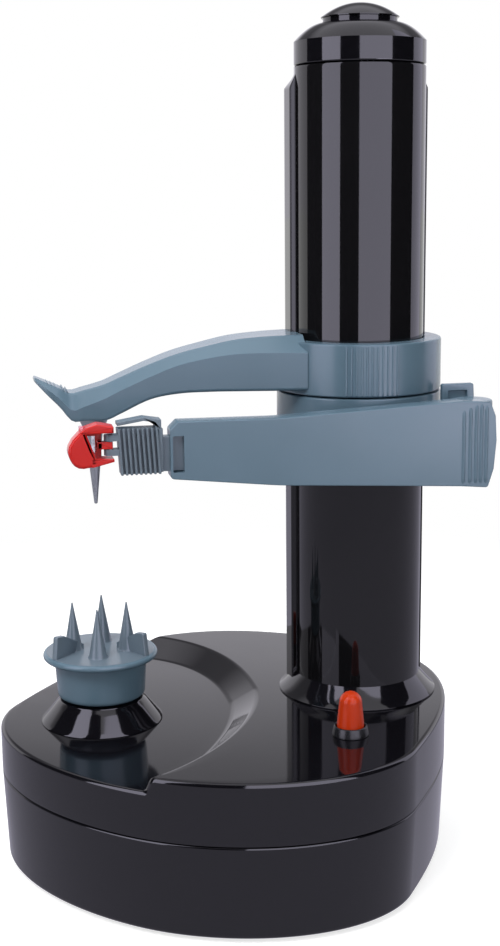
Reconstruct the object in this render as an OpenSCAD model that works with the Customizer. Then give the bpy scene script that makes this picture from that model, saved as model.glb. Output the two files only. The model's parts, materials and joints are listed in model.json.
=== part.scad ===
// Electric potato peeler: base with gear train, column with a lead screw, holder arm and peeling arm.
// Local frame of the modules: column axis at the origin, shell's bottom edge at height zero.
// The chuck lies along -X from the column and the controls face -Y. Millimetres.

/* [Base] */
// Half length of the base towards the food cup
base_left = 81; // [76:0.5:90]
// Half length of the base beyond the column
base_right = 72.5; // [70:0.5:80]
// Half width of the base at the front
base_front = 54; // [52:0.5:60]
// Half width of the base at the back
base_back = 104; // [100:0.5:112]
// Roundness power of the front half of the outline
base_front_power = 1.9; // [1.9:0.05:2.3]
// Roundness power of the back half of the outline
base_back_power = 2.6; // [2.4:0.05:2.9]
// Turn of the outline about the vertical, in degrees
base_turn = -34; // [-38:1:-30]
// How far the wall leans out between the bottom and the seam
base_flare = 1.35; // [0:0.05:2]
// Height of the seam between the lower and the upper shell
seam_h = 32.5; // [31:0.5:34]
// Height of the raised deck
deck_h = 54; // [53:0.5:56]
// Depth of the dish round the cup
dish_depth = 5; // [3.5:0.25:5.5]
// Wall thickness of both base shells
base_wall = 2.4; // [2:0.1:2.6]
// Rounding of the outer edges of the base
base_edge = 1.6; // [1:0.1:2.2]
// Depth of the groove along the seam
seam_groove = 0.6; // [0.3:0.1:0.9]
// Height of the rubber feet below the shell
foot_h = 1.5; // [1:0.1:2.5]
// Radius of a rubber foot
foot_r = 6; // [5:0.5:7]

/* [Column] */
// Radius of the smooth front of the column
column_r = 23; // [22:0.25:23.5]
// Radius of the back of the column
column_back_r = 26.6; // [26:0.1:27]
// Half width across the side ribs of the column
rib_half_w = 25; // [24.5:0.25:25.5]
// Wall thickness of the column shells
column_wall = 2; // [1.6:0.1:2.2]
// Height of the top of the column tube
column_top = 279.3; // [279:0.1:285]
// Height at which the side ribs start to fade out
rib_top = 272; // [268:0.5:274]
// Radius of the conical foot of the column at the deck
skirt_r = 29.3; // [28.5:0.1:30]
// Height of the conical foot above the deck
skirt_h = 7; // [5:0.5:9]
// Width of the slot in the back of the column
back_slot_w = 8; // [7.5:0.5:9]
// Room that the back slot leaves past each end of the half nut's travel
slot_room = 3.5; // [2:0.5:6]

/* [Cap] */
// Height of the straight side of the cap
cap_side = 8.3; // [7:0.1:9]
// Rise of the cap's dome
cap_dome = 6; // [5:0.2:7]
// Radius of the dome button on the cap
cap_button_r = 13.6; // [13:0.2:15]
// Height of the domed head of the cap button
cap_button_h = 5.3; // [4.5:0.1:6]
// Dark gap between the cap and the brim of its button
cap_gap = 1.6; // [1.5:0.1:2.4]

/* [Food cup] */
// Distance from the column axis to the chuck axis
chuck_reach = 96; // [96:0.25:96.5]
// Height of the food cup's underside above the floor of the dish
cup_lift = 9; // [8:0.5:11]
// Radius of the underside of the cup
cup_r = 15.4; // [15:0.2:16]
// Radius of the rim of the cup
cup_rim_r = 20.6; // [19.5:0.1:22]
// Height of the cup from underside to rim
cup_h = 17; // [16:0.5:19]
// Thickness of the rim flange
cup_rim_t = 2.6; // [2:0.1:3.2]
// Thickness of the disc that carries the spikes, which lies flush in the cup's top
disc_t = 1.2; // [0.8:0.1:2]
// Radius of the circle of food spikes
spike_ring_r = 9.7; // [8.5:0.1:10.5]
// Height of a food spike above the disc
spike_h = 17.6; // [14:0.2:22]
// Radius of a food spike at its foot
spike_r = 3.2; // [2.4:0.1:3.6]
// Number of food spikes
spike_count = 4; // [3:1:5]
// Height of the two wings on the disc
wing_h = 8; // [5:0.5:10]
// Thickness of a wing
wing_t = 2.2; // [1.4:0.1:3]
// Radius of the cone under the cup at the deck
cone_r = 22; // [20:0.5:23]

/* [Holder arm] */
// Gap between the holder's collar and the carriage below it at rest
collar_gap = 0.5; // [0.4:0.1:2]
// Height of the holder's collar
holder_collar_h = 18.3; // [17:0.1:20]
// Outer radius of both collars
collar_r = 29.5; // [29:0.1:30.5]
// Reach of the holder arm's finger lip from the column axis
holder_reach = 116; // [114:0.5:120]
// Half width of the holder arm at its root
holder_half_w = 13; // [11:0.5:14]
// Drop of the holder arm's nose below its collar
holder_drop = 7.2; // [6:0.2:8]
// Rise from the nose's underside to the arm's crown
holder_rise = 28; // [26:0.5:30]
// Length of the pointed top spike
top_spike_l = 26.4; // [22:0.2:30]
// Radius of the top spike at its root
top_spike_r = 3.2; // [2.8:0.1:3.6]
// Number of grip ridges on the holder's collar
grip_count = 11; // [7:2:11]

/* [Peeling arm] */
// Height of the underside of the carriage
carriage_h = 138.4; // [138:0.1:138.8]
// Height of the carriage's collar
carriage_collar_h = 28.3; // [27:0.1:28.4]
// Travel of the carriage down the column
carriage_travel = 67; // [60:0.5:67]
// Distance from the column axis to the arm's front face
arm_front = 40; // [39.5:0.25:41]
// Thickness of the peeling arm
arm_t = 8.5; // [8:0.1:8.8]
// Reach of the arm's left end from the column axis
arm_reach = 75.7; // [72:0.1:78]
// Place of the hinge pin to the right of the column axis
hinge_x = 31.5; // [31:0.25:33]
// Radius of the arm's hinge barrel
barrel_r = 7; // [6.5:0.1:7.2]
// Radius of the hinge pin
hinge_pin_r = 1.75; // [1.5:0.05:2]
// Length of the ribbed grip of the blade cartridge
cartridge_l = 14.5; // [13:0.5:16]
// Height of the blade cartridge
cartridge_h = 15.4; // [14:0.2:16]
// Length of the red guard
guard_l = 15; // [14:0.5:17]
// Height of the red guard
guard_h = 14.6; // [14:0.2:16]
// Number of ribs on the cartridge's grip
cartridge_ribs = 9; // [6:1:10]
// Rise of the cartridge's release lever above its grip
lever_rise = 3.5; // [2.5:0.1:4]

/* [Controls] */
// Place of the start button along X from the column axis
button_x = -15.5; // [-17:0.5:-14]
// Place of the start button in front of the column axis
button_y = -48.6; // [-49:0.2:-48]
// Radius of the start button at its foot
button_r = 4.7; // [4.3:0.1:5]
// Height of the start button's tip above the deck
button_tip = 15.5; // [13:0.5:15.5]
// Radius of the collar round the start button
button_collar_r = 6.3; // [6.2:0.1:8.5]
// Height of the collar round the start button
button_collar_h = 3.4; // [3:0.1:4]

/* [Drive] */
// Module of all gears
gear_module = 1.5; // [1.5:0.1:1.5]
// Teeth of the chuck gear
chuck_teeth = 36; // [36:1:36]
// Teeth of the first idler's small gear
small_teeth = 10; // [10:1:10]
// Teeth of the first idler's large gear
large_teeth = 26; // [26:1:26]
// Teeth of the second idler
idler_teeth = 24; // [24:1:24]
// Teeth of the lead screw's gear
screw_teeth = 24; // [24:1:24]
// Teeth of the motor pinion
pinion_teeth = 10; // [10:1:10]
// Width of the gears on the upper level
gear_w = 5; // [4.5:0.25:5.5]
// Radius of the chuck shaft
shaft_r = 4; // [3.5:0.1:4.5]
// Outer radius of the lead screw's thread
screw_r = 5; // [4.5:0.1:5.5]
// Pitch of the lead screw's thread
screw_pitch = 4; // [3:0.5:5]
// Radius of the motor can
motor_r = 12; // [10:0.5:12.5]
// Gap between the motor and the shell above it
motor_gap = 1.1; // [0.5:0.1:4]
// Radius of a battery cell
cell_r = 7.2; // [7:0.05:7.25]
// Length of a battery cell
cell_l = 50; // [48:0.5:50.5]

/* [Hidden] */
$fn = 96;
// Overrun of every cut past the faces that it leaves
over = 1;
// Thickness of the thin plates that a shell is spanned over
slice = 0.2;
// Running clearance of shafts and pins in their bores
fit = 0.05;
// Seat clearance between fixed pieces that fit into each other
seat = 0.02;
// Clearance between sliding pieces
slide = 0.3;
// Place of the column axis in the part's frame, which is centred under the part
column_x = 47;
column_y = 2.7;
// Middle of the base outline from the column axis
base_x = -58.5;
base_y = -25;
egg_steps = 64;

chuck_x = -chuck_reach;
floor_top = base_wall;
deck_under = deck_h - base_wall;
deck_low_h = deck_h - dish_depth;
dish_under = deck_low_h - base_wall;
cup_low = deck_low_h + cup_lift;
holder_h = carriage_h + carriage_collar_h + collar_gap;

// Gear levels and places
low_gear_z = 6;
low_gear_w = 4.4;
gear_z = 11;
pair_1 = gear_module * (chuck_teeth + small_teeth) / 2;
pair_2 = gear_module * (small_teeth + idler_teeth) / 2;
pair_motor = gear_module * (large_teeth + pinion_teeth) / 2;
idler_1_x = chuck_x + pair_1;
idler_2_x = idler_1_x + pair_2;
idler_pin_r = 2;
boss_r = 6;
boss_top = 5.4;
pin_low = 2.7;
plate_z = 18.5;
plate_t = 3;
plate_top = plate_z + plate_t;
plate_half_w = 20;
plate_column_r = 28.2;
plate_chuck_r = 24;
plate_arm_x = -92;
plate_arm_w = 11.8;
plate_arm_half_l = 34;
plate_motor_margin = 1;
post_r = 3.5;
motor_shaft_r = 1;
motor_l = dish_under - motor_gap - plate_top;
thread_h = 1.1;
screw_core_r = screw_r - thread_h;
journal_r = 3;
journal_h = 5;

// Dish round the food cup, an outline of the same kind as the base's
dish_x = -100;
dish_y = 5;
dish_half_l = 62;
dish_front = 80;
dish_back = 80;
dish_slope = 9.5;
dish_low_back = 66;
dish_low_front = 79;
dish_front_power = 1.58;
dish_back_power = 2.4;

module place() {
    translate([column_x, column_y, foot_h]) children();
}

module at_chuck() {
    translate([chuck_x, 0, 0]) children();
}

// One quarter-wise rounded outline: half lengths left and right, front and back, and its two powers
function outline_points(left, right, front, back, front_power, back_power) = [
    for (i = [0 : egg_steps - 1])
        let (
            t = 360 * (i + 0.5) / egg_steps,
            a = cos(t) > 0 ? right : left,
            b = sin(t) > 0 ? back : front,
            p = 2 / (sin(t) > 0 ? back_power : front_power)
        )
        [a * sign(cos(t)) * pow(abs(cos(t)), p), b * sign(sin(t)) * pow(abs(sin(t)), p)]
];

module base_slice(z, grow, thick) {
    translate([base_x, base_y, z])
        rotate(base_turn)
            linear_extrude(thick)
                polygon(outline_points(base_left + grow, base_right + grow, base_front + grow,
                    base_back + grow, base_front_power, base_back_power));
}

module dish_slice(z, half_l, front, back, thick) {
    translate([dish_x, dish_y, z])
        linear_extrude(thick)
            polygon(outline_points(half_l, half_l, front, back, dish_front_power, dish_back_power));
}

// The space that the dish takes out of the raised deck
module dish(z, grow) {
    hull() {
        dish_slice(z, dish_half_l - dish_slope + grow, dish_low_front + grow, dish_low_back + grow, slice);
        dish_slice(z + deck_h - deck_low_h, dish_half_l + grow, dish_front + grow, dish_back + grow, over);
    }
}

screw_places = [[-58, 68.2], [-106, -36], [5, -46], [15, 34]];
foot_places = [[-112, 12], [-92, -50], [-6, -58], [0, 48]];
board_post_offset = 11;
board_post_places = [[button_x - board_post_offset, button_y], [button_x + board_post_offset, button_y]];
plate_post_places = [[-86, 30.5], [-86, -30.5], [-18, 17.5], [-18, -17.5], [17.5, 17.5], [17.5, -17.5]];
slope_drop = 2.6;
screw_tops = [deck_h - slope_drop, deck_low_h - base_wall / 2, deck_h - base_wall / 2, deck_h - base_wall / 2];
screw_post_r = 4;
screw_hole_r = 1.3;
foot_recess = 0.9;

// Battery bay in the back of the base
bay_x = -52;
bay_y = 47.5;
bay_wall = 1.6;
bay_gap = 0.25;
bay_l = cell_l + 2;
bay_w = 4 * cell_r + 3 * bay_gap;
bay_low = 1.9;
bay_h = 4 * cell_r + 3 * bay_gap;
door_t = 1.2;
door_tongue = 0.8;
door_tongue_t = 0.6;
door_margin = 1;
door_channel_l = 60;
contact_t = 0.3;

// Power inlet in the back wall
jack_x = -42;
jack_y = 66.2;
jack_z = 15;
jack_w = 10;
jack_l = 9;
jack_nose_r = 4.4;
jack_nose_l = 3.6;
jack_bore_r = 2.8;
jack_bore_l = 9;

// Start button, its board and switch
board_t = 1.6;
button_room = 16.3;
board_l = 30;
board_w = 24;
button_flange_r = 6.4;
button_flange_t = 2;
button_flange_z = deck_under - button_flange_t - slide;
board_top = button_flange_z - button_room;
button_travel = 2.5;
button_top_r = 3.5;
button_hole_r = button_r + slide;
switch_w = 5.6;
switch_h = 8;
plunger_r = 1.2;
plunger_top = button_flange_z - button_travel - slide;
button_spring_r = 5.6;
button_spring_t = 0.9;

module base_lower() {
    color([0.09, 0.085, 0.1]) place() {
        difference() {
            hull() {
                base_slice(0, -base_edge, slice);
                base_slice(base_edge, 0, slice);
                base_slice(seam_h - slice, base_flare, slice);
            }
            hull() {
                base_slice(floor_top, -base_wall, slice);
                base_slice(seam_h, base_flare - base_wall, over);
            }
            for (p = foot_places)
                translate([p[0], p[1], -over])
                    cylinder(r = foot_r + seat, h = over + foot_recess);
            for (p = screw_places)
                translate([p[0], p[1], -over])
                    cylinder(r = screw_hole_r + seat, h = over + floor_top + over);
            // opening for the cells and the door's channel out to the back left
            translate([bay_x - bay_l / 2, bay_y - bay_w / 2, -over])
                cube([bay_l, bay_w, floor_top + 2 * over]);
            door_channel();
            // hole for the nose of the power inlet
            translate([jack_x, jack_y, jack_z])
                rotate([-90, 0, 0])
                    cylinder(r = jack_nose_r + seat, h = jack_l + jack_nose_l + 2 * over);
        }
        difference() {
            for (p = screw_places)
                translate([p[0], p[1], floor_top])
                    cylinder(r = screw_post_r, h = seam_h - floor_top);
            for (p = screw_places)
                translate([p[0], p[1], floor_top - over])
                    cylinder(r = screw_hole_r + seat, h = seam_h);
        }
        for (p = plate_post_places)
            translate([p[0], p[1], floor_top])
                cylinder(r = post_r, h = plate_z - floor_top);
        for (p = board_post_places)
            translate([p[0], p[1], floor_top])
                cylinder(r = post_r, h = board_top - board_t - floor_top);
        // bosses that carry the lower ends of the shafts and pins
        shaft_boss(chuck_x, shaft_r + fit);
        shaft_boss(idler_1_x, idler_pin_r + seat);
        shaft_boss(idler_2_x, idler_pin_r + seat);
        shaft_boss(0, journal_r + fit);
        // walls and roof of the battery bay
        difference() {
            translate([bay_x - bay_l / 2 - bay_wall, bay_y - bay_w / 2 - bay_wall, floor_top])
                cube([bay_l + 2 * bay_wall, bay_w + 2 * bay_wall, bay_low + bay_h + bay_wall - floor_top]);
            translate([bay_x - bay_l / 2, bay_y - bay_w / 2, 0])
                cube([bay_l, bay_w, bay_low + bay_h]);
        }
    }
}

module shaft_boss(x, bore_r) {
    translate([x, 0, floor_top])
        difference() {
            cylinder(r = boss_r, h = boss_top - floor_top);
            translate([0, 0, pin_low - slide - floor_top])
                cylinder(r = bore_r, h = boss_top);
        }
}

module door_channel() {
    translate([bay_x - bay_l / 2 - door_channel_l, bay_y - bay_w / 2 - door_margin - seat, -over])
        cube([bay_l + door_channel_l + door_margin, bay_w + 2 * (door_margin + seat), over + door_t + slide / 2]);
    translate([bay_x - bay_l / 2 - door_channel_l, bay_y - bay_w / 2 - door_margin - door_tongue - seat,
            door_t - door_tongue_t - slide / 2])
        cube([bay_l + door_channel_l + door_margin, bay_w + 2 * (door_margin + door_tongue + seat),
            door_tongue_t + slide]);
}

module battery_door() {
    color([0.11, 0.11, 0.12]) place() {
        translate([bay_x - bay_l / 2 - door_margin, bay_y - bay_w / 2 - door_margin + slide / 2, 0])
            cube([bay_l + 2 * door_margin - slide, bay_w + 2 * door_margin - slide, door_t]);
        translate([bay_x - bay_l / 2 - door_margin, bay_y - bay_w / 2 - door_margin - door_tongue + slide / 2,
                door_t - door_tongue_t])
            cube([bay_l + 2 * door_margin - slide, bay_w + 2 * (door_margin + door_tongue) - slide,
                door_tongue_t]);
    }
}

module foot(i) {
    color([0.16, 0.16, 0.16]) place()
        translate([foot_places[i][0], foot_places[i][1], -foot_h])
            cylinder(r = foot_r, h = foot_h + foot_recess);
}

module battery(i) {
    column_i = i % 2;
    row_i = floor(i / 2);
    nub_r = 2.6;
    nub_h = 1;
    color([0.25, 0.27, 0.3]) place()
        translate([bay_x - bay_l / 2 + (bay_l - cell_l) / 2,
                bay_y + (column_i - 0.5) * (2 * cell_r + bay_gap),
                bay_low + bay_gap + cell_r + row_i * (2 * cell_r + bay_gap)])
            rotate([0, 90, 0]) {
                cylinder(r = cell_r, h = cell_l - nub_h);
                cylinder(r = nub_r, h = cell_l);
            }
}

module battery_contacts() {
    plate_w = 2 * cell_r;
    color([0.75, 0.75, 0.72]) place()
        for (end = [0, 1])
            for (row_i = [0, 1])
                translate([bay_x - bay_l / 2 + end * (bay_l - contact_t), bay_y - plate_w,
                        bay_low + cell_r / 2 + row_i * (2 * cell_r + bay_gap)])
                    cube([contact_t, 2 * plate_w, cell_r]);
}

module power_jack() {
    color([0.07, 0.07, 0.08]) place()
        translate([jack_x, jack_y, jack_z])
            rotate([-90, 0, 0]) {
                difference() {
                    union() {
                        translate([-jack_w / 2, -jack_w / 2, 0])
                            cube([jack_w, jack_w, jack_l]);
                        cylinder(r = jack_nose_r, h = jack_l + jack_nose_l);
                    }
                    translate([0, 0, jack_l + jack_nose_l - jack_bore_l])
                        cylinder(r = jack_bore_r, h = jack_bore_l + over);
                }

            }
}

module base_screws() {
    color([0.7, 0.7, 0.72]) place()
        for (p = screw_places)
            translate([p[0], p[1], 0])
                cylinder(r = screw_hole_r, h = deck_low_h - 3 * base_wall);
}

// The outer body of the upper shell with its dish
module upper_body() {
    difference() {
        hull() {
            base_slice(seam_h, base_flare - seam_groove, slice);
            base_slice(seam_h + seam_groove, base_flare, deck_h - base_edge - seam_h - seam_groove);
            base_slice(deck_h - slice, base_flare - base_edge, slice);
        }
        dish(deck_low_h, 0);
    }
}

module base_upper() {
    color([0.09, 0.085, 0.1]) place()
        difference() {
            union() {
                difference() {
                    upper_body();
                    difference() {
                        base_slice(seam_h - over, base_flare - base_wall, deck_under - seam_h + over);
                        dish(dish_under, base_wall);
                    }
                }
                // screw towers under the deck
                for (i = [0 : len(screw_places) - 1])
                    translate([screw_places[i][0], screw_places[i][1], seam_h])
                        cylinder(r = screw_post_r, h = screw_tops[i] - seam_h);
            }
            for (p = screw_places)
                translate([p[0], p[1], seam_h - over])
                    cylinder(r = screw_hole_r + seat, h = deck_low_h - 3 * base_wall - seam_h + over);
            // holes for the column, the cone's spigot and the start button
            translate([0, 0, seam_h])
                cylinder(r = column_back_r + seat, h = deck_h);
            at_chuck()
                translate([0, 0, seam_h])
                    cylinder(r = spigot_r + seat, h = deck_h);
            translate([button_x, button_y, seam_h])
                cylinder(r = button_hole_r, h = deck_h);
        }
}

spigot_r = 8;
spigot_l = 5;
cone_top_r = 15.2;
cone_gap = 0.6;

module chuck_cone() {
    color([0.1, 0.095, 0.11]) place() at_chuck()
        difference() {
            union() {
                translate([0, 0, deck_low_h])
                    cylinder(r1 = cone_r, r2 = cone_top_r, h = cup_low - cone_gap - deck_low_h);
                translate([0, 0, deck_low_h - spigot_l])
                    cylinder(r = spigot_r, h = spigot_l + over);
            }
            translate([0, 0, deck_low_h - spigot_l - over])
                cylinder(r = shaft_r + fit, h = cup_low);
        }
}

// Involute gears
pressure = 25;
addendum_share = 0.8;
dedendum_share = 1.1;
backlash = 0.16;
flank_steps = 3;

function involute_angle(base_r, r) =
    let (a = acos(min(1, base_r / r)))
    (tan(a) * 180 / PI - a);

function half_tooth(teeth, r) =
    let (
        pitch_r = gear_module * teeth / 2,
        base_r = pitch_r * cos(pressure),
        at_pitch = 90 / teeth - backlash / 2 / pitch_r * 180 / PI
    )
    at_pitch + involute_angle(base_r, pitch_r) - involute_angle(base_r, max(r, base_r));

function gear_points(teeth, phase) =
    let (
        pitch_r = gear_module * teeth / 2,
        root_r = pitch_r - dedendum_share * gear_module,
        tip_r = pitch_r + addendum_share * gear_module,
        start_r = max(root_r + gear_module / 8, pitch_r * cos(pressure)),
        radii = [for (k = [0 : flank_steps]) start_r + (tip_r - start_r) * k / flank_steps]
    )
    [for (n = [0 : teeth - 1])
        let (mid = phase + 360 * n / teeth)
        each concat(
            [[root_r, mid - half_tooth(teeth, root_r)]],
            [for (r = radii) [r, mid - half_tooth(teeth, r)]],
            [for (k = [flank_steps : -1 : 0]) [radii[k], mid + half_tooth(teeth, radii[k])]],
            [[root_r, mid + half_tooth(teeth, root_r)]]
        )
    ];

module gear(teeth, phase, w, bore_r) {
    linear_extrude(w)
        difference() {
            polygon([for (p = gear_points(teeth, phase)) [p[0] * cos(p[1]), p[0] * sin(p[1])]]);
            circle(r = bore_r);
        }
}

// Phase that lets a gear mesh with its driver, which lies in the direction given from driver to gear
function mesh_phase(direction, driver_phase, driver_teeth, teeth) =
    direction + 180 - (driver_phase - direction) * driver_teeth / teeth + 180 / teeth;

chuck_phase = 0;
idler_1_phase = mesh_phase(0, chuck_phase, chuck_teeth, small_teeth);
idler_2_phase = mesh_phase(0, idler_1_phase, small_teeth, idler_teeth);
screw_phase = mesh_phase(0, idler_2_phase, idler_teeth, screw_teeth);
pinion_phase = mesh_phase(-90, idler_1_phase, large_teeth, pinion_teeth);

module gear_plate() {
    color([0.82, 0.8, 0.74]) place()
        difference() {
            union() {
                translate([chuck_x, -plate_half_w, plate_z])
                    cube([chuck_reach, 2 * plate_half_w, plate_t]);
                translate([plate_arm_x, -plate_arm_half_l, plate_z])
                    cube([plate_arm_w, 2 * plate_arm_half_l, plate_t]);
                translate([0, 0, plate_z])
                    cylinder(r = plate_column_r, h = plate_t);
                translate([chuck_x, 0, plate_z])
                    cylinder(r = plate_chuck_r, h = plate_t);
                translate([idler_1_x, -pair_motor, plate_z])
                    cylinder(r = motor_r + plate_motor_margin, h = plate_t);
            }
            translate([chuck_x, 0, plate_z - over])
                cylinder(r = shaft_r + fit, h = plate_t + 2 * over);
            for (x = [idler_1_x, idler_2_x])
                translate([x, 0, plate_z - over])
                    cylinder(r = idler_pin_r + seat, h = plate_t + 2 * over);
            translate([0, 0, plate_z - over])
                cylinder(r = screw_core_r + fit, h = plate_t + 2 * over);
            translate([idler_1_x, -pair_motor, plate_z - over])
                cylinder(r = motor_shaft_r + fit, h = plate_t + 2 * over);
        }
}

module idler_pin(x) {
    color([0.72, 0.72, 0.74]) place()
        translate([x, 0, pin_low])
            cylinder(r = idler_pin_r, h = plate_top - pin_low);
}

module idler_gear_1() {
    color([0.9, 0.88, 0.8]) place() translate([idler_1_x, 0, 0]) {
        translate([0, 0, low_gear_z])
            gear(large_teeth, idler_1_phase, low_gear_w, idler_pin_r + fit);
        translate([0, 0, low_gear_z + low_gear_w])
            gear(small_teeth, idler_1_phase, gear_z + gear_w - low_gear_z - low_gear_w, idler_pin_r + fit);
    }
}

module idler_gear_2() {
    color([0.9, 0.88, 0.8]) place() translate([idler_2_x, 0, gear_z])
        gear(idler_teeth, idler_2_phase, gear_w, idler_pin_r + fit);
}

module chuck_gear() {
    color([0.9, 0.88, 0.8]) place() translate([chuck_x, 0, gear_z])
        gear(chuck_teeth, chuck_phase, gear_w, shaft_r + seat);
}

module screw_gear() {
    color([0.9, 0.88, 0.8]) place() translate([0, 0, gear_z])
        gear(screw_teeth, screw_phase, gear_w, screw_core_r + seat);
}

module motor_pinion() {
    color([0.78, 0.68, 0.35]) place() translate([idler_1_x, -pair_motor, low_gear_z])
        gear(pinion_teeth, pinion_phase, low_gear_w, motor_shaft_r + seat);
}

module motor_shaft() {
    color([0.75, 0.75, 0.77]) place() translate([idler_1_x, -pair_motor, low_gear_z])
        cylinder(r = motor_shaft_r, h = plate_top + motor_l / 2 - low_gear_z);
}

module motor_can() {
    color([0.62, 0.63, 0.65]) place() translate([idler_1_x, -pair_motor, plate_top])
        difference() {
            cylinder(r = motor_r, h = motor_l);
            translate([0, 0, -over])
                cylinder(r = motor_shaft_r + fit, h = motor_l / 2 + 2 * over);
        }
}

cup_hub_l = 10;
cup_lean = 1.2;
cup_edge = 1.2;
cup_rim_w = 0.9;
cup_rim_soft = 0.7;
disc_r = cup_rim_r - cup_rim_w - slide;

module chuck_shaft() {
    color([0.72, 0.72, 0.74]) place() at_chuck()
        translate([0, 0, pin_low])
            cylinder(r = shaft_r, h = cup_low + cup_hub_l - pin_low);
}

bearing_drop = 7.3;
screw_top = column_top - bearing_drop;
screw_start = 26;

module lead_screw() {
    turns = floor((arm_mid + nut_h - screw_start) / screw_pitch);
    color([0.72, 0.72, 0.74]) place() {
        translate([0, 0, pin_low])
            cylinder(r = journal_r, h = gear_z - pin_low);
        translate([0, 0, boss_top + slide])
            cylinder(r = screw_core_r, h = screw_top - boss_top - slide);
        translate([0, 0, screw_top])
            cylinder(r = journal_r, h = journal_h);
        for (i = [0 : turns - 1])
            translate([0, 0, screw_start + i * screw_pitch])
                cylinder(r1 = screw_core_r, r2 = screw_r, h = thread_h);
        for (i = [0 : turns - 1])
            translate([0, 0, screw_start + i * screw_pitch + thread_h])
                cylinder(r1 = screw_r, r2 = screw_core_r, h = thread_h);
    }
}

bearing_t = 5.5;

module top_bearing() {
    color([0.82, 0.8, 0.74]) place()
        translate([0, 0, screw_top + slide])
            difference() {
                cylinder(r = column_r - column_wall - seat, h = bearing_t);
                translate([0, 0, -over])
                    cylinder(r = journal_r + fit, h = bearing_t + 2 * over);
            }
}

module food_cup() {
    flange_low = cup_h - cup_rim_t;
    color([0.42, 0.5, 0.58]) place() at_chuck() translate([0, 0, cup_low])
        difference() {
            union() {
                cylinder(r1 = cup_r - cup_edge, r2 = cup_r, h = cup_edge);
                translate([0, 0, cup_edge])
                    cylinder(r1 = cup_r, r2 = cup_r + cup_lean, h = flange_low - cup_edge);
                // rolled rim
                translate([0, 0, flange_low])
                    rotate_extrude()
                        polygon([[0, 0], [cup_rim_r - 2 * cup_rim_soft, 0],
                            [cup_rim_r - cup_rim_soft / 3, cup_rim_soft / 2],
                            [cup_rim_r, cup_rim_t / 2], [cup_rim_r - cup_rim_soft / 4, cup_rim_t - cup_rim_soft / 2],
                            [cup_rim_r - cup_rim_soft, cup_rim_t], [0, cup_rim_t]]);
            }
            translate([0, 0, cup_h - disc_t])
                cylinder(r = disc_r + slide, h = disc_t + over);
            translate([0, 0, -over])
                cylinder(r = shaft_r + seat, h = cup_hub_l + over);
        }
}

spike_tip_r = 0.4;
spike_turn = 80;
wing_mid_turn = -94.5;
wing_splay = 38.3;
wing_offset = 6.6;
// Side view of a wing: shares of the disc's radius and of the wing's height
wing_shares = [[0.12, -0.05], [0.94, -0.05], [0.88, 1], [0.69, 0.95], [0.12, 0.21]];

module food_spikes() {
    color([0.44, 0.52, 0.6]) place() at_chuck() translate([0, 0, cup_low + cup_h]) {
        translate([0, 0, -disc_t])
            cylinder(r = disc_r, h = disc_t);
        for (i = [0 : spike_count - 1])
            rotate(spike_turn + 360 * i / spike_count)
                translate([spike_ring_r, 0, -disc_t / 2])
                    cylinder(r1 = spike_r, r2 = spike_tip_r, h = spike_h + disc_t / 2);
        for (side = [-1, 1])
            rotate(wing_mid_turn + side * wing_splay)
                translate([0, side * wing_offset + wing_t / 2, 0])
                    rotate([90, 0, 0])
                        linear_extrude(wing_t)
                            polygon([for (p = wing_shares) [disc_r * p[0], wing_h * p[1]]]);
    }
}

// Outline of the column: smooth front half, ribbed sides and a rounder back
module column_half_front(grow) {
    intersection() {
        circle(r = column_r + grow);
        translate([-2 * column_r, -2 * column_r])
            square([4 * column_r, 2 * column_r]);
    }
}

module column_half_rear(grow) {
    intersection() {
        circle(r = column_back_r + grow);
        translate([-rib_half_w - grow, -max(grow, 0)])
            square([2 * (rib_half_w + grow), 2 * column_r]);
    }
}

module column_bore(grow) {
    column_half_front(grow);
    column_half_rear(grow);
}

module column_front() {
    color([0.1, 0.1, 0.11]) place()
        translate([0, 0, plate_top])
            linear_extrude(column_top - plate_top)
                difference() {
                    column_half_front(0);
                    circle(r = column_r - column_wall);
                }
}

module column_rear() {
    fade_h = column_back_r - column_r + over;
    color([0.1, 0.1, 0.11]) place()
        difference() {
            union() {
                translate([0, 0, plate_top])
                    linear_extrude(rib_top - plate_top)
                        column_half_rear(0);
                intersection() {
                    translate([0, 0, rib_top])
                        linear_extrude(fade_h)
                            column_half_rear(0);
                    translate([0, 0, rib_top])
                        cylinder(r1 = column_back_r, r2 = column_r - over, h = fade_h);
                }
                intersection() {
                    translate([0, 0, rib_top - over])
                        cylinder(r = column_r, h = column_top - rib_top + over);
                    translate([-column_r, 0, rib_top - over])
                        cube([2 * column_r, column_r, column_top - rib_top + over]);
                }
            }
            translate([0, 0, plate_top - over])
                cylinder(r = column_r - column_wall, h = column_top);
            // slot that the half nut runs in
            translate([-back_slot_w / 2, 0, arm_mid - nut_h / 2 - carriage_travel - slot_room])
                cube([back_slot_w, 2 * column_r, nut_h + carriage_travel + 2 * slot_room]);
        }
}

module column_skirt() {
    color([0.09, 0.085, 0.1]) place()
        difference() {
            translate([0, 0, deck_h])
                cylinder(r1 = skirt_r, r2 = column_r, h = skirt_h);
            translate([0, 0, deck_h - over])
                linear_extrude(skirt_h + 2 * over)
                    column_bore(seat);
        }
}

cap_stem_r = 5;
brim_over = 0.7;
cap_neck_r = cap_button_r - brim_over;
cap_flange_t = 1.5;
cap_flange_r = cap_neck_r + cap_flange_t;
crown_lip = 0.35;
dome_power = 1.8;
cap_crown_r = cap_neck_r + slide / 2 + crown_lip;
cap_wall = 2;

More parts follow.
